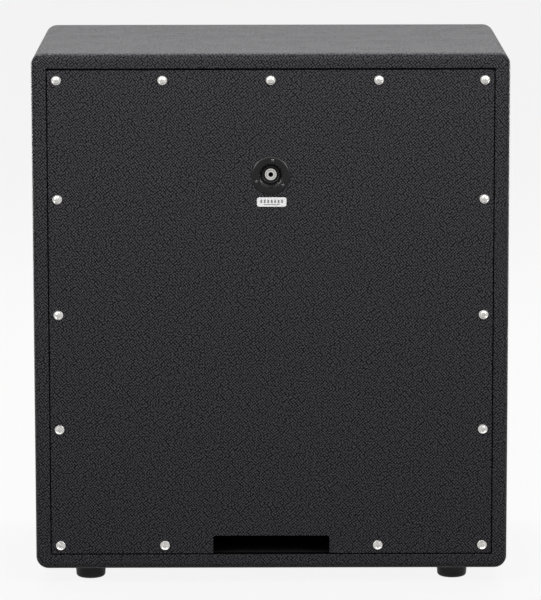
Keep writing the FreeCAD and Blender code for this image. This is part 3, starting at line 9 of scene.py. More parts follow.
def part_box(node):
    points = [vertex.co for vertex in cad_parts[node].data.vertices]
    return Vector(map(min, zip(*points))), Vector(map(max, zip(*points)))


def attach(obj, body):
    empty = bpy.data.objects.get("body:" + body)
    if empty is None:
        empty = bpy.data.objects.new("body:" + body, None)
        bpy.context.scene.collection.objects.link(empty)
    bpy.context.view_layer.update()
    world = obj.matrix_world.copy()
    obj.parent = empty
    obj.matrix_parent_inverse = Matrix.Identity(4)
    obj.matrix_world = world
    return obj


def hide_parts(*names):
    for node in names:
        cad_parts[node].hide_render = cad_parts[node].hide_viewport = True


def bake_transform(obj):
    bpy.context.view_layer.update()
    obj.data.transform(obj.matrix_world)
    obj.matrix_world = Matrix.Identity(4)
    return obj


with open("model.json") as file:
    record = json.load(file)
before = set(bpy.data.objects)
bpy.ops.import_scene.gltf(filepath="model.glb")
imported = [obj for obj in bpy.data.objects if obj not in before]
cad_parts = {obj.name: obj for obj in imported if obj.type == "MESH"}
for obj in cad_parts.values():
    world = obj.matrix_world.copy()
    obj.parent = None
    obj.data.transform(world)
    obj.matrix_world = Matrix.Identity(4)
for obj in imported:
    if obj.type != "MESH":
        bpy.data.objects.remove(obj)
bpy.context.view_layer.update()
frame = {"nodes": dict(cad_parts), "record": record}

# Lengths are metres, in the cabinet's own frame: X right seen from the front, Y to the rear, Z up.
MM = 0.001


# Camera, fitted to the cabinet's edges in the photograph of 541 by 600 pixels
LONG_SIDE_PX = 600
FOCAL_PX = 4000.0
SENSOR_MM = 36.0
CAMERA_AT = Vector((0.0135, 5.336, 1.2422))
CAMERA_PITCH = 0.1658
CAMERA_YAW = 0.0025
CAMERA_ROLL = -0.0016
CAMERA_REACH = 100.0


def make_camera():
    """A camera behind the cabinet that looks a little down at its back."""
    level = math.cos(CAMERA_PITCH)
    forward = Vector((-level * math.sin(CAMERA_YAW), -level * math.cos(CAMERA_YAW), -math.sin(CAMERA_PITCH)))
    right = Vector((-math.cos(CAMERA_YAW), math.sin(CAMERA_YAW), 0.0))
    up = right.cross(forward)
    rolled_right = math.cos(CAMERA_ROLL) * right + math.sin(CAMERA_ROLL) * up
    rolled_up = math.cos(CAMERA_ROLL) * up - math.sin(CAMERA_ROLL) * right
    data = bpy.data.cameras.new("camera")
    data.sensor_width = SENSOR_MM
    data.lens = FOCAL_PX * SENSOR_MM / LONG_SIDE_PX
    data.clip_end = CAMERA_REACH
    camera = bpy.data.objects.new("camera", data)
    camera.matrix_world = Matrix((rolled_right, rolled_up, -forward)).transposed().to_4x4()
    camera.location = CAMERA_AT
    bpy.context.scene.collection.objects.link(camera)
    bpy.context.scene.camera = camera


# Node trees, for the stage and for the finishes

def grey(level):
    return (level, level, level, 1.0)


def rgb(red, green, blue):
    return (red, green, blue, 1.0)


class Shading:
    """A node tree in the making."""

    def __init__(self, owner):
        owner.use_nodes = True
        self.tree = owner.node_tree

    def node(self, kind, inputs=None, **settings):
        """A new node, with its settings made and its inputs fed."""
        made = self.tree.nodes.new(kind)
        for name, value in settings.items():
            setattr(made, name, value)
        for name, value in (inputs or {}).items():
            self.feed(made.inputs[name], value)
        return made

    def feed(self, socket, value):
        """Link an input to another node's output, or set it to a plain value."""
        if isinstance(value, bpy.types.NodeSocket):
            self.tree.links.new(value, socket)
        else:
            socket.default_value = value

    def maths(self, operation, first, second=0.0):
        return self.node("ShaderNodeMath", {0: first, 1: second}, operation=operation).outputs[0]

    def ease(self, value, start, end, low=0.0, high=1.0):
        """A value brought smoothly from one range to another."""
        inputs = {"Value": value, "From Min": start, "From Max": end, "To Min": low, "To Max": high}
        return self.node("ShaderNodeMapRange", inputs, interpolation_type="SMOOTHSTEP").outputs[0]


class Surround(Shading):
    """Something round the cabinet that has one look to the eye and another in reflections."""

    def __init__(self, owner):
        super().__init__(owner)
        self.tree.nodes.clear()

    def plain(self, kind, colour):
        """A shader of one colour."""
        return self.node(kind, {"Color": colour}).outputs[0]

    def ray_is(self, *kinds):
        """One for rays of any of the named kinds."""
        path = self.node("ShaderNodeLightPath")
        total = path.outputs[kinds[0]]
        for kind in kinds[1:]:
            total = self.maths("MAXIMUM", total, path.outputs[kind])
        return total

    def choose(self, share, first, second):
        return self.node("ShaderNodeMixShader", {0: share, 1: first, 2: second}).outputs[0]

    def done(self, output, seen, mirrored, otherwise):
        """Show one shader to the eye, one in reflections and one to all other rays."""
        unseen = self.choose(self.ray_is("Is Glossy Ray", "Is Transmission Ray"), otherwise, mirrored)
        self.node(output, {"Surface": self.choose(self.ray_is("Is Camera Ray"), unseen, seen)})


# Stage: a pale floor, pale walls beyond it and a dim room on the photographer's side.
# The walls turn dim over a range of a direction's Y, and end between two values of its Z.
PALE = 0.93
NEAR_WALL = 0.66
WALL_TURN = (-0.25, 0.35)
WALL_TOP = 0.22
CEILING_START = 0.62
CEILING_SHARE = 0.12
SKY_FILL = 0.10
FLOOR_HALF = 40.0
FLOOR_GLOW = 0.89
FLOOR_MIRRORED = 0.70
FLOOR_SHADE = 0.05
FLOOR_BOUNCE = 0.06


def make_world():
    """Pale to the eye; in reflections, pale walls beyond the cabinet and a dim room this side of it."""
    world = bpy.data.worlds.new("surroundings")
    around = Surround(world)
    way = around.node("ShaderNodeSeparateXYZ", {0: around.node("ShaderNodeTexCoord").outputs["Generated"]})
    wall = around.ease(way.outputs["Y"], *WALL_TURN, PALE, NEAR_WALL)
    share = around.ease(way.outputs["Z"], WALL_TOP, CEILING_START, 1.0, CEILING_SHARE)
    room = around.plain("ShaderNodeBackground", around.maths("MULTIPLY", wall, share))
    seen = around.plain("ShaderNodeBackground", grey(PALE))
    fill = around.plain("ShaderNodeBackground", grey(SKY_FILL))
    around.done("ShaderNodeOutputWorld", seen, room, fill)
    bpy.context.scene.world = world


def make_floor():
    """A pale floor that glows evenly to the eye, takes a soft shadow and is dimmer in reflections."""
    mesh = bpy.data.meshes.new("floor")
    corners = [(x * FLOOR_HALF, y * FLOOR_HALF, 0.0) for x, y in ((-1, -1), (1, -1), (1, 1), (-1, 1))]
    mesh.from_pydata(corners, [], [(0, 1, 2, 3)])
    floor = bpy.data.objects.new("floor", mesh)
    bpy.context.scene.collection.objects.link(floor)
    material = bpy.data.materials.new("pale_floor")
    around = Surround(material)
    glow = around.plain("ShaderNodeEmission", grey(FLOOR_GLOW))
    shade = around.plain("ShaderNodeBsdfDiffuse", grey(FLOOR_SHADE))
    seen = around.node("ShaderNodeAddShader", {0: glow, 1: shade}).outputs[0]
    mirrored = around.plain("ShaderNodeEmission", grey(FLOOR_MIRRORED))
    bounce = around.plain("ShaderNodeBsdfDiffuse", grey(FLOOR_BOUNCE))
    around.done("ShaderNodeOutputMaterial", seen, mirrored, bounce)
    mesh.materials.append(material)


def make_lamp(name, at, towards, width, height, watts):
    """A rectangular softbox."""
    data = bpy.data.lights.new(name, "AREA")
    data.shape = "RECTANGLE"
    data.size = width
    data.size_y = height
    data.energy = watts
    lamp = bpy.data.objects.new(name, data)
    lamp.location = at
    lamp.rotation_mode = "QUATERNION"
    lamp.rotation_quaternion = (Vector(towards) - Vector(at)).to_track_quat("-Z", "Y")
    bpy.context.scene.collection.objects.link(lamp)


def make_lamps():
    """Softboxes beside the photographer, low before the front, above the back and over the far side."""
    for name, x in (("near_left", 1.6), ("near_right", -1.6)):
        make_lamp(name, at=(x, 1.9, 1.4), towards=(0.0, 0.2, 0.4), width=0.5, height=0.9, watts=18.5)
    for name, x in (("front_left", -2.1), ("front_right", 2.1)):
        make_lamp(name, at=(x, -2.0, 0.36), towards=(0.0, -0.1, 0.36), width=0.9, height=0.6, watts=24.0)
    make_lamp("near_top", at=(0.0, 1.3, 1.35), towards=(0.0, 0.2, 0.5), width=2.6, height=0.6, watts=16.5)
    make_lamp("far_top", at=(0.0, -0.42, 2.4), towards=(0.0, -0.42, 0.0), width=3.0, height=0.6, watts=47.0)
    make_lamp("far_bank", at=(0.0, -1.75, 2.4), towards=(0.0, -1.0, 0.7), width=3.0, height=1.5, watts=47.0)


# Finishes, all worked out from the object's own coordinates; a scale counts features to a metre
AO_SAMPLES = 8


class Finish(Shading):
    """A material in the making: its node tree, its shader and the place on the object."""

    def __init__(self, name, constants):
        self.material = bpy.data.materials.new(name)
        super().__init__(self.material)
        self.shader = self.tree.nodes["Principled BSDF"]
        for socket, value in constants.items():
            self.shader.inputs[socket].default_value = value
        self.place = self.node("ShaderNodeTexCoord").outputs["Object"]

    def along(self, axis):
        """The place along one axis."""
        return self.node("ShaderNodeSeparateXYZ", {0: self.place}).outputs[axis]

    def scaled(self, x, y, z):
        """The place stretched along each axis, for grain that runs one way."""
        return self.node("ShaderNodeMapping", {"Vector": self.place, "Scale": (x, y, z)}).outputs[0]

    def swayed(self, place, scale, reach):
        """A place shifted about by a slow noise."""
        slow = {"Vector": self.place, "Scale": scale, "Detail": 1.0}
        sway = self.node("ShaderNodeTexNoise", slow).outputs[1]
        middle = (0.5, 0.5, 0.5)
        centred = self.node("ShaderNodeVectorMath", {0: sway, 1: middle}, operation="SUBTRACT").outputs[0]
        small = self.node("ShaderNodeVectorMath", {0: centred, "Scale": reach}, operation="SCALE").outputs[0]
        return self.node("ShaderNodeVectorMath", {0: place, 1: small}, operation="ADD").outputs[0]

    def flat_place(self, turn):
        """The place on the side of the cabinet that a face belongs to, turned on that side."""
        facing = self.node("ShaderNodeTexCoord").outputs["Normal"]
        size = self.node("ShaderNodeVectorMath", {0: facing}, operation="ABSOLUTE").outputs[0]
        parts = self.node("ShaderNodeSeparateXYZ", {0: size})
        to_x, to_y, to_z = (parts.outputs[axis] for axis in "XYZ")
        on_end = self.maths("GREATER_THAN", to_x, self.maths("MAXIMUM", to_y, to_z))
        on_top = self.maths("GREATER_THAN", to_z, self.maths("MAXIMUM", to_x, to_y))
        across = self.blend(on_end, self.along("X"), self.along("Y"))
        up = self.blend(on_top, self.along("Z"), self.along("Y"))
        flat = self.node("ShaderNodeCombineXYZ", {0: across, 1: up}).outputs[0]
        return self.node("ShaderNodeMapping", {"Vector": flat, "Rotation": (0.0, 0.0, turn)}).outputs[0]

    def noise(self, scale, detail=3.0, roughness=0.55, place=None):
        inputs = {"Vector": place or self.place, "Scale": scale, "Detail": detail, "Roughness": roughness}
        return self.node("ShaderNodeTexNoise", inputs).outputs[0]

    def cells(self, scale):
        """The distance from the middle of the nearest of many scattered cells."""
        return self.node("ShaderNodeTexVoronoi", {"Vector": self.place, "Scale": scale}).outputs["Distance"]

    def spread(self, noise, low, high, reach=0.2):
        """A noise, which keeps near its middle, spread over a range."""
        return self.ease(noise, 0.5 - reach, 0.5 + reach, low, high)

    def within(self, value, low, high, low_fade, high_fade):
        """One between two limits, fading to nought beyond them."""
        rise = self.ease(value, low - low_fade, low)
        fall = self.ease(value, high + high_fade, high)
        return self.maths("MULTIPLY", rise, fall)

    def blend(self, share, first, second):
        """A number between two others."""
        inputs = {0: share, 2: first, 3: second}
        return self.node("ShaderNodeMix", inputs, data_type="FLOAT").outputs[0]

    def tint(self, share, first, second):
        """A colour between two others."""
        inputs = {0: share, 6: first, 7: second}
        return self.node("ShaderNodeMix", inputs, data_type="RGBA").outputs[2]

    def openness(self, reach):
        """One on open surfaces, falling towards nought in crevices narrower than the reach."""
        return self.node("ShaderNodeAmbientOcclusion", {"Distance": reach}, samples=AO_SAMPLES).outputs["AO"]

    def bump(self, height, distance, strength=1.0):
        """A relief whose height, from nought to one, stands for a distance."""
        inputs = {"Height": height, "Distance": distance, "Strength": strength}
        return self.node("ShaderNodeBump", inputs).outputs[0]

    def done(self, colour, roughness, normal):
        self.feed(self.shader.inputs["Base Color"], colour)
        self.feed(self.shader.inputs["Roughness"], roughness)
        self.feed(self.shader.inputs["Normal"], normal)
        return self.material


# The vinyl's grain: pebbles on a turned lattice that sways, from the crown of each out to its crease
PEBBLES = 342.0
PEBBLE_SCATTER = 0.40
GRAIN_TURN = math.radians(40)
GRAIN_SWAY_SCALE = 40.0
GRAIN_SWAY = 6.0 * MM
CROWN_END = 0.27
CREASE_START = 0.46
PEBBLE_RISE = 0.8 * MM

# The port's mouth, where the covering is turned in and coloured near black as painted shade
MOUTH_HALF = 80 * MM
MOUTH_FLOOR = 39.5 * MM
MOUTH_TOP = 58 * MM
MOUTH_FRONT = 110 * MM
MOUTH_REAR = 191.5 * MM


def mouth_painted_shade(finish):
    """One inside the port's mouth, where the covering's colour is painted shade."""
    off_middle = finish.maths("ABSOLUTE", finish.along("X"))
    across = finish.ease(off_middle, MOUTH_HALF + 5 * MM, MOUTH_HALF)
    up = finish.within(finish.along("Z"), MOUTH_FLOOR, MOUTH_TOP, low_fade=0.5 * MM, high_fade=4 * MM)
    deep = finish.within(finish.along("Y"), MOUTH_FRONT, MOUTH_REAR, low_fade=10 * MM, high_fade=1 * MM)
    return finish.maths("MULTIPLY", finish.maths("MULTIPLY", across, up), deep)


def black_vinyl():
    """Black leathercloth with rounded pebbles, dull creases and slightly polished crowns; painted shade
    darkens the creases and the port's mouth, and painted light brightens the crowns.
    """
    finish = Finish("black_vinyl", {"Specular IOR Level": 0.14, "Specular Tint": rgb(0.96, 0.95, 1.0)})
    place = finish.swayed(finish.flat_place(GRAIN_TURN), GRAIN_SWAY_SCALE, GRAIN_SWAY)
    lattice = {"Vector": place, "Scale": PEBBLES, "Randomness": PEBBLE_SCATTER}
    from_crown = finish.node("ShaderNodeTexVoronoi", lattice, voronoi_dimensions="2D").outputs["Distance"]
    crown = finish.ease(from_crown, CREASE_START, CROWN_END)
    # painted shade and light: creases coloured near black and crowns lighter, standing in for the pebbles'
    # shading
    skin = finish.tint(crown, grey(0.002), rgb(0.058, 0.056, 0.063))
    # painted shade: the covering inside the port's mouth is coloured near black
    colour = finish.tint(mouth_painted_shade(finish), skin, grey(0.001))
    polish = finish.ease(crown, 0.0, 1.0, 0.52, 0.27)
    wear = finish.spread(finish.noise(26.0, detail=4.0), -0.02, 0.02)
    fall = finish.maths("MULTIPLY", finish.maths("POWER", from_crown, 2.0), -PEBBLE_RISE)
    return finish.done(colour, finish.maths("ADD", polish, wear), finish.bump(fall, distance=1.0))


# Painted shade on the wood: coloured black all round the port, and on what lies against the back panel
PORT_SHADE_TOP = 100 * MM
PORT_SHADE_FRONT = 40 * MM
PORT_SHADE_FADE = 40 * MM
REAR_SHADE = 172 * MM
REAR_SHADE_FADE = 4 * MM
PAINTED_SHADE = grey(0.003)


# painted shade: wood facing the back panel is coloured black
def rear_painted_shade(finish):
    return finish.ease(finish.along("Y"), REAR_SHADE - REAR_SHADE_FADE, REAR_SHADE)


def plywood():
    """Birch plywood with long grain and fibres, coloured black as painted shade round the port and at the
    rear.
    """
    finish = Finish("plywood", {})
    grain = finish.noise(30.0, detail=6.0, roughness=0.6, place=finish.scaled(1.0, 0.12, 1.0))
    fibre = finish.noise(240.0, detail=3.0, roughness=0.6, place=finish.scaled(1.0, 0.05, 1.0))
    wood = finish.tint(grain, rgb(0.50, 0.35, 0.20), rgb(0.68, 0.53, 0.34))
    wood = finish.tint(finish.ease(fibre, 0.55, 0.75, 0.0, 0.45), wood, rgb(0.36, 0.23, 0.12))
    # painted shade: wood round the port is coloured black
    low = finish.ease(finish.along("Z"), PORT_SHADE_TOP + PORT_SHADE_FADE, PORT_SHADE_TOP)
    behind = finish.ease(finish.along("Y"), PORT_SHADE_FRONT - PORT_SHADE_FADE, PORT_SHADE_FRONT)
    painted_shade = finish.maths("MAXIMUM", finish.maths("MULTIPLY", low, behind), rear_painted_shade(finish))
    colour = finish.tint(painted_shade, wood, PAINTED_SHADE)
    rough = finish.spread(fibre, 0.55, 0.75, reach=0.3)
    return finish.done(colour, rough, finish.bump(fibre, 0.15 * MM, strength=0.6))


def softwood():
    """Planed pine with wide rings, coloured black as painted shade next to the back panel."""
    finish = Finish("softwood", {})
    years = {"Vector": finish.scaled(0.2, 1.0, 0.2), "Scale": 60.0, "Distortion": 6.0, "Detail": 3.0}
    rings = finish.node("ShaderNodeTexWave", years).outputs["Fac"]
    fibre = finish.noise(300.0, detail=3.0, roughness=0.6, place=finish.scaled(0.06, 1.0, 0.06))
    wood = finish.tint(rings, rgb(0.66, 0.49, 0.29), rgb(0.52, 0.34, 0.17))
    # painted shade: the rear end is coloured black
    colour = finish.tint(rear_painted_shade(finish), wood, PAINTED_SHADE)
    rough = finish.spread(fibre, 0.6, 0.8, reach=0.3)
    return finish.done(colour, rough, finish.bump(fibre, 0.12 * MM, strength=0.6))


def black_ply():
    """Plywood under matte black paint that shows some grain."""
    finish = Finish("black_ply", {"Specular IOR Level": 0.35})
    fibre = finish.noise(220.0, detail=4.0, roughness=0.6, place=finish.scaled(1.0, 1.0, 0.05))
    blotch = finish.noise(35.0)
    colour = finish.tint(blotch, rgb(0.010, 0.010, 0.011), rgb(0.024, 0.024, 0.025))
    return finish.done(colour, finish.spread(blotch, 0.62, 0.82), finish.bump(fibre, 0.12 * MM, strength=0.7))


def plated(name, bright, dull, low_rough, high_rough):
    """Plated metal with fine scratches, a light film of handling, and painted shade darkening its crevices.
    """
    finish = Finish(name, {"Metallic": 1.0})
    film = finish.noise(180.0, detail=4.0, roughness=0.6)
    scratch = finish.noise(1500.0, detail=2.0, roughness=0.5, place=finish.scaled(1.0, 0.15, 0.25))
    # painted shade: crevices narrower than the reach are coloured dark
    unshaded = finish.ease(finish.openness(0.8 * MM), 0.30, 0.75)
    crevice_shade = rgb(0.035, 0.034, 0.032)
    colour = finish.tint(unshaded, crevice_shade, finish.tint(film, bright, dull))
    rough = finish.ease(film, 0.3, 0.75, low_rough, high_rough)
    return finish.done(colour, rough, finish.bump(scratch, 0.02 * MM, strength=0.5))


def nickel():
    bright = rgb(0.90, 0.89, 0.86)
    dull = rgb(0.74, 0.73, 0.70)
    return plated("nickel", bright, dull, low_rough=0.16, high_rough=0.32)


def zinc_steel():
    bright = rgb(0.66, 0.68, 0.70)
    dull = rgb(0.48, 0.50, 0.52)
    return plated("zinc_steel", bright, dull, low_rough=0.28, high_rough=0.46)


def tinned_brass():
    bright = rgb(0.80, 0.75, 0.62)
    dull = rgb(0.62, 0.56, 0.44)
    return plated("tinned_brass", bright, dull, low_rough=0.22, high_rough=0.40)


def black_steel():
    """Black oxide on small screws, rubbed a little brighter in places."""
    finish = Finish("black_steel", {"Metallic": 0.9})
    film = finish.noise(420.0, detail=4.0, roughness=0.6)
    rubbed = finish.ease(film, 0.5, 0.75)
    colour = finish.tint(rubbed, rgb(0.120, 0.120, 0.122), rgb(0.220, 0.220, 0.224))
    return finish.done(colour, finish.spread(film, 0.12, 0.22), finish.bump(film, 0.02 * MM, strength=0.5))


def black_plastic():
    """Moulded black plastic with a fine even texture, and painted shade darkening its hollows."""
    finish = Finish("black_plastic", {"Specular IOR Level": 0.22})
    texture = finish.cells(1900.0)
    blotch = finish.noise(60.0)
    skin = finish.tint(blotch, grey(0.009), rgb(0.013, 0.0125, 0.0125))
    # painted shade: hollows are coloured near black
    colour = finish.tint(finish.ease(finish.openness(14 * MM), 0.55, 0.85), grey(0.001), skin)
    rough = finish.spread(blotch, 0.22, 0.30)
    return finish.done(colour, rough, finish.bump(texture, 0.05 * MM, strength=0.4))


def rubber():
    """Moulded rubber, dull, with a trace of dust."""
    finish = Finish("rubber", {"Specular IOR Level": 0.35})
    dust = finish.noise(90.0, detail=5.0, roughness=0.65)
    grain = finish.noise(1400.0, detail=2.0)
    colour = finish.tint(finish.ease(dust, 0.45, 0.8), grey(0.0065), rgb(0.022, 0.0215, 0.021))
    return finish.done(colour, finish.spread(dust, 0.50, 0.68), finish.bump(grain, 0.05 * MM, strength=0.5))


# The label's print, from the label's middle: a row of even ticks, and a rule below it
TICK_PITCH = 4.5 * MM
TICKS_AT = 0.8 * MM
TICKS_HALF = 15.0 * MM
TICKS_RISE = 2.1 * MM
RULE_AT = -3.4 * MM
RULE_HALF = 10.0 * MM
RULE_RISE = 0.4 * MM


def label_paper():
    """A white sticker with plain evenly spaced grey ticks and one grey rule, and no words."""
    finish = Finish("label_paper", {"Specular IOR Level": 0.4})
    low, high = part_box("label")
    centre = (low + high) / 2
    off_middle = finish.maths("ABSOLUTE", finish.maths("SUBTRACT", finish.along("X"), centre.x))
    height = finish.maths("SUBTRACT", finish.along("Z"), centre.z)

    def strip(at, half, rise, end_fade, side_fade):
        off_line = finish.maths("ABSOLUTE", finish.maths("SUBTRACT", height, at))
        along = finish.ease(off_middle, half + end_fade, half)
        return finish.maths("MULTIPLY", along, finish.ease(off_line, rise + side_fade, rise))

    phase = finish.maths("PINGPONG", off_middle, TICK_PITCH / 2)
    tick = finish.ease(phase, 0.06 * TICK_PITCH, 0.44 * TICK_PITCH, 1.0, 0.0)
    row = strip(TICKS_AT, TICKS_HALF, TICKS_RISE, end_fade=1.0 * MM, side_fade=0.3 * MM)
    rule = strip(RULE_AT, RULE_HALF, RULE_RISE, end_fade=0.4 * MM, side_fade=0.2 * MM)
    ink = finish.maths("MAXIMUM", finish.maths("MULTIPLY", tick, row), rule)
    fibre = finish.noise(900.0)
    paper = finish.tint(fibre, rgb(0.82, 0.82, 0.83), grey(0.88))
    colour = finish.tint(ink, paper, rgb(0.20, 0.20, 0.205))
    return finish.done(colour, finish.spread(fibre, 0.38, 0.50), finish.bump(fibre, 0.02 * MM, strength=0.4))


def phenolic():
    """Brown resin board with its paper layers showing as cloud."""
    finish = Finish("phenolic", {})
    cloud = finish.noise(150.0, detail=5.0)
    colour = finish.tint(cloud, rgb(0.14, 0.055, 0.020), rgb(0.26, 0.12, 0.045))
    return finish.done(colour, finish.spread(cloud, 0.35, 0.5), finish.bump(cloud, 0.05 * MM, strength=0.4))


def woven(name, dark, light, threads_per_metre, depth):
    """A plain weave in the cabinet's X and Z, with threads that pass over and under, coloured darker where
    they dip as painted shade.
    """
    finish = Finish(name, {"Specular IOR Level": 0.25, "Sheen Weight": 0.12, "Sheen Roughness": 0.5})
    half_turns = math.pi * threads_per_metre
    warp = finish.maths("SINE", finish.maths("MULTIPLY", finish.along("X"), half_turns))
    weft = finish.maths("SINE", finish.maths("MULTIPLY", finish.along("Z"), half_turns))
    upper = finish.ease(finish.maths("MULTIPLY", warp, weft), -0.25, 0.25)
    relief = finish.blend(upper, finish.maths("ABSOLUTE", warp), finish.maths("ABSOLUTE", weft))
    slub = finish.noise(90.0, detail=4.0, roughness=0.6)
    # painted shade: the weave's low points are coloured darker; the slub adds tone at random
    shade = finish.maths("MULTIPLY", relief, finish.spread(slub, 0.65, 1.0, reach=0.25))
    colour = finish.tint(shade, dark, light)
    return finish.done(colour, finish.spread(slub, 0.72, 0.9), finish.bump(relief, depth, strength=0.9))


def grille_fabric():
    light = rgb(0.085, 0.083, 0.080)
    return woven("grille_fabric", grey(0.004), light, threads_per_metre=300.0, depth=0.6 * MM)


def spider_cloth():
    dark = rgb(0.30, 0.16, 0.05)
    light = rgb(0.60, 0.38, 0.14)
    return woven("spider_cloth", dark, light, threads_per_metre=900.0, depth=0.2 * MM)


def edge_cloth():
    light = rgb(0.045, 0.043, 0.040)
    return woven("edge_cloth", grey(0.008), light, threads_per_metre=1100.0, depth=0.15 * MM)


def hook_and_loop():
    """A dense black nap."""
    finish = Finish("hook_and_loop", {"Specular IOR Level": 0.2, "Sheen Weight": 0.3})
    nap = finish.cells(1300.0)
    colour = finish.tint(nap, grey(0.022), grey(0.004))
    rough = finish.ease(nap, 0.0, 0.8, 0.8, 0.95)
    return finish.done(colour, rough, finish.bump(nap, 0.5 * MM, strength=0.9))


def piping():
    """A smooth vinyl bead with slow changes in gloss."""
    finish = Finish("piping", {"Specular IOR Level": 0.45})
    film = finish.noise(70.0)
    skin = finish.noise(1200.0, detail=2.0)
    colour = finish.tint(film, grey(0.010), grey(0.018))
    return finish.done(colour, finish.spread(film, 0.30, 0.44), finish.bump(skin, 0.04 * MM, strength=0.4))


def enamel():
    """Dark grey enamel on pressed steel, with slight orange peel."""
    finish = Finish("enamel", {"Coat Weight": 0.2, "Coat Roughness": 0.2})
    peel = finish.noise(420.0, detail=2.0)
    tone = finish.noise(40.0)
    colour = finish.tint(tone, rgb(0.030, 0.031, 0.034), rgb(0.050, 0.051, 0.055))
    return finish.done(colour, finish.spread(tone, 0.32, 0.45), finish.bump(peel, 0.05 * MM, strength=0.4))


def cone_paper():
    """Felted dark pulp with visible fibres."""
    finish = Finish("cone_paper", {"Specular IOR Level": 0.25})
    fibre = finish.noise(520.0, detail=5.0, roughness=0.7)
    cloud = finish.noise(45.0)
    colour = finish.tint(fibre, rgb(0.016, 0.015, 0.014), rgb(0.055, 0.052, 0.048))
    return finish.done(colour, finish.spread(cloud, 0.72, 0.9), finish.bump(fibre, 0.18 * MM, strength=0.7))


COIL_PITCH = 0.5 * MM


def coil():
    """Copper winding: fine turns along the speaker's axis."""
    finish = Finish("coil", {"Metallic": 0.9})
    wave = finish.maths("SINE", finish.maths("MULTIPLY", finish.along("Y"), math.tau / COIL_PITCH))
    film = finish.noise(300.0)
    colour = finish.tint(film, rgb(0.62, 0.27, 0.12), rgb(0.78, 0.42, 0.22))
    turns = finish.bump(finish.maths("ABSOLUTE", wave), 0.1 * MM, strength=0.8)
    return finish.done(colour, finish.spread(film, 0.28, 0.42), turns)


def gasket_board():
    """Pressed grey-brown board."""
    finish = Finish("gasket_board", {"Specular IOR Level": 0.2})
    fibre = finish.noise(380.0, detail=5.0, roughness=0.7)
    colour = finish.tint(fibre, rgb(0.20, 0.155, 0.11), rgb(0.36, 0.29, 0.21))
    return finish.done(colour, finish.spread(fibre, 0.8, 0.95), finish.bump(fibre, 0.15 * MM, strength=0.6))


def ferrite():
    """Sintered magnet: dark grey, finely pitted."""
    finish = Finish("ferrite", {})
    pit = finish.cells(700.0)
    cloud = finish.noise(70.0, detail=4.0)
    colour = finish.tint(cloud, rgb(0.038, 0.038, 0.040), rgb(0.075, 0.075, 0.078))
    return finish.done(colour, finish.spread(cloud, 0.45, 0.62), finish.bump(pit, 0.08 * MM, strength=0.5))


def lead_skin(name, deep, pale):
    """The plastic skin of a lead, with a soft sheen that wanders."""
    finish = Finish(name, {})
    film = finish.noise(160.0)
    colour = finish.tint(film, deep, pale)
    return finish.done(colour, finish.spread(film, 0.34, 0.48), finish.bump(film, 0.05 * MM, strength=0.4))


def red_pvc():
    return lead_skin("red_pvc", rgb(0.38, 0.018, 0.012), rgb(0.52, 0.035, 0.022))


def black_pvc():
    return lead_skin("black_pvc", grey(0.010), grey(0.020))


FINISHES = (
    plywood, softwood, black_ply, black_vinyl, nickel, zinc_steel, black_steel, black_plastic, rubber,
    label_paper, phenolic, tinned_brass, grille_fabric, piping, hook_and_loop, enamel, cone_paper,
    edge_cloth, spider_cloth, coil, gasket_board, ferrite, red_pvc, black_pvc,
)


def dress_nodes():
    """Give every CAD node the finish of its slot, and return the finishes by slot."""
    finishes = {make.__name__: make() for make in FINISHES}
    for part in frame["record"]["subparts"]:
        mesh = frame["nodes"][part["node"]].data
        mesh.materials.clear()
        mesh.materials.append(finishes[part["material_slot"]])
    return finishes


# Soft pieces

def join_rings(shape, first, second):
    """A band of faces between two rings of the same number of points."""
    count = len(first)
    for index in range(count):
        after = (index + 1) % count
        shape.faces.new((first[index], first[after], second[after], second[index]))


def new_piece(name, shape, material):
    """A smooth piece made from a finished shape."""
    bmesh.ops.recalc_face_normals(shape, faces=shape.faces)
    mesh = bpy.data.meshes.new(name)
    shape.to_mesh(mesh)
    shape.free()
    for face in mesh.polygons:
        face.use_smooth = True
    mesh.materials.append(material)
    piece = bpy.data.objects.new(name, mesh)
    bpy.context.scene.collection.objects.link(piece)
    return piece


# Grille cloth: it turns over the frame's edge, and a margin inside the turn keeps the face flat
CLOTH_THICKNESS = 0.6 * MM
CLOTH_ROUND = 1.8 * MM
CLOTH_ROUND_STEPS = 5
CLOTH_CORNER_STEPS = 4
CLOTH_MARGIN = 6 * MM


def rounded_ring(half_x, half_z, corner, y, centre_z):
    """Points round an upright rectangle with rounded corners, from one end of its upper right corner."""
    points = []
    for number in range(4):
        side_x = 1 if number in (0, 3) else -1
        side_z = 1 if number in (0, 1) else -1
        for step in range(CLOTH_CORNER_STEPS + 1):
            angle = math.pi / 2 * (number + step / CLOTH_CORNER_STEPS)
            x = side_x * (half_x - corner) + corner * math.cos(angle)
            z = side_z * (half_z - corner) + corner * math.sin(angle)
            points.append(Vector((x, y, centre_z + z)))
    return points


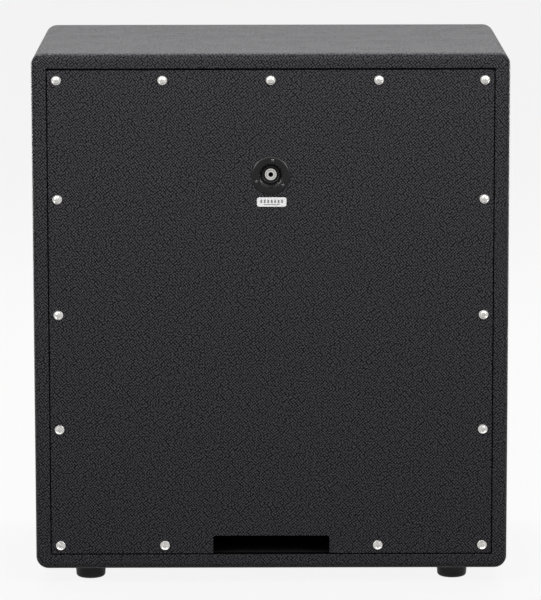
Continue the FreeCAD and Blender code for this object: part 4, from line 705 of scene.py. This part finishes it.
def make_grille_cloth(material):
    """One cloth stretched over the grille frame's face and down its edges."""
    low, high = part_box("grille_cloth")
    half_x = (high.x - low.x) / 2
    half_z = (high.z - low.z) / 2
    centre_z = (low.z + high.z) / 2
    levels = [(0.0, high.y), (0.0, low.y + CLOTH_ROUND)]
    for step in range(1, CLOTH_ROUND_STEPS + 1):
        angle = math.pi / 2 * step / CLOTH_ROUND_STEPS
        levels.append((CLOTH_ROUND * (1 - math.cos(angle)), low.y + CLOTH_ROUND * (1 - math.sin(angle))))
    levels.append((CLOTH_ROUND + CLOTH_MARGIN, low.y))
    shape = bmesh.new()
    rings = []
    for inset, y in levels:
        corner = max(2 * CLOTH_ROUND - inset, CLOTH_THICKNESS)
        points = rounded_ring(half_x - inset, half_z - inset, corner, y, centre_z)
        rings.append([shape.verts.new(point) for point in points])
    for first, second in zip(rings, rings[1:]):
        join_rings(shape, first, second)
    shape.faces.new(rings[-1])
    cloth = new_piece("grille_cloth_sheet", shape, material)
    thickness = cloth.modifiers.new("thickness", "SOLIDIFY")
    thickness.thickness = CLOTH_THICKNESS
    thickness.offset = -1.0
    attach(cloth, "cabinet")
    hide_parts("grille_cloth")


# Cone edges and spiders: a flat land on the speaker's frame, then rolls towards the moving part
ROLL_STEPS = 12
TURN_STEPS = 144
FLEX_GAP = 0.3 * MM
EDGE_SIZES = {"land": 14.0 * MM, "rolls": 2, "roll_height": 0.6 * MM, "sheet": 0.6 * MM}
SPIDER_SIZES = {"land": 14.7 * MM, "rolls": 5, "roll_height": 0.8 * MM, "sheet": 0.6 * MM}


class Suspension:
    """A ring of rolled cloth that joins a cone to its speaker's frame."""

    def __init__(self, node, moving_node, land, rolls, roll_height, sheet):
        low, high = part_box(node)
        inner_low, inner_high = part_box(moving_node)
        self.centre = (low + high) / 2
        self.inner = (inner_high.x - inner_low.x) / 2 + FLEX_GAP
        self.outer = (high.x - low.x) / 2
        self.land = self.outer - land
        self.rolls = rolls
        self.roll_height = roll_height
        self.sheet = sheet
        self.front = low.y + roll_height + sheet / 2
        self.rear = high.y - roll_height - sheet / 2

    def midline(self):
        """Radius and Y along the middle of the sheet, from its flat land to its inner end."""
        points = [(self.outer, self.front)]
        count = self.rolls * ROLL_STEPS
        for step in range(count + 1):
            share = step / count
            wave = math.sin(math.tau * self.rolls * share)
            radius = self.land + (self.inner - self.land) * share
            points.append((radius, self.front + (self.rear - self.front) * share - self.roll_height * wave))
        return points

    def build(self, name, material):
        """The ring itself: the sheet's section turned about the speaker's axis."""
        line = self.midline()
        half = self.sheet / 2
        outline = [(radius, y - half) for radius, y in line]
        outline += [(radius, y + half) for radius, y in reversed(line)]
        shape = bmesh.new()
        rings = []
        for turn in range(TURN_STEPS):
            angle = math.tau * turn / TURN_STEPS
            ring = []
            for radius, y in outline:
                spot = (self.centre.x + radius * math.cos(angle), y, self.centre.z + radius * math.sin(angle))
                ring.append(shape.verts.new(spot))
            rings.append(ring)
        for first, second in zip(rings, rings[1:] + rings[:1]):
            join_rings(shape, first, second)
        return new_piece(name, shape, material)


def make_suspensions(finishes):
    """Cone edges and spiders, rolled between the cabinet and the moving cones."""
    for speaker in ("upper", "lower"):
        for part, moving, slot, sizes in (("cone_edge", "cone", "edge_cloth", EDGE_SIZES),
                                          ("spider", "voice_coil", "spider_cloth", SPIDER_SIZES)):
            node = f"{speaker}_{part}"
            ring = Suspension(node, f"{speaker}_{moving}", **sizes)
            piece = ring.build(f"{node}_cloth", finishes[slot])
            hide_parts(node)
            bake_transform(piece)


make_camera()
make_world()
make_floor()
make_lamps()
finishes = dress_nodes()
make_grille_cloth(finishes["grille_fabric"])
make_suspensions(finishes)

bpy.context.scene.view_settings.view_transform = "Standard"
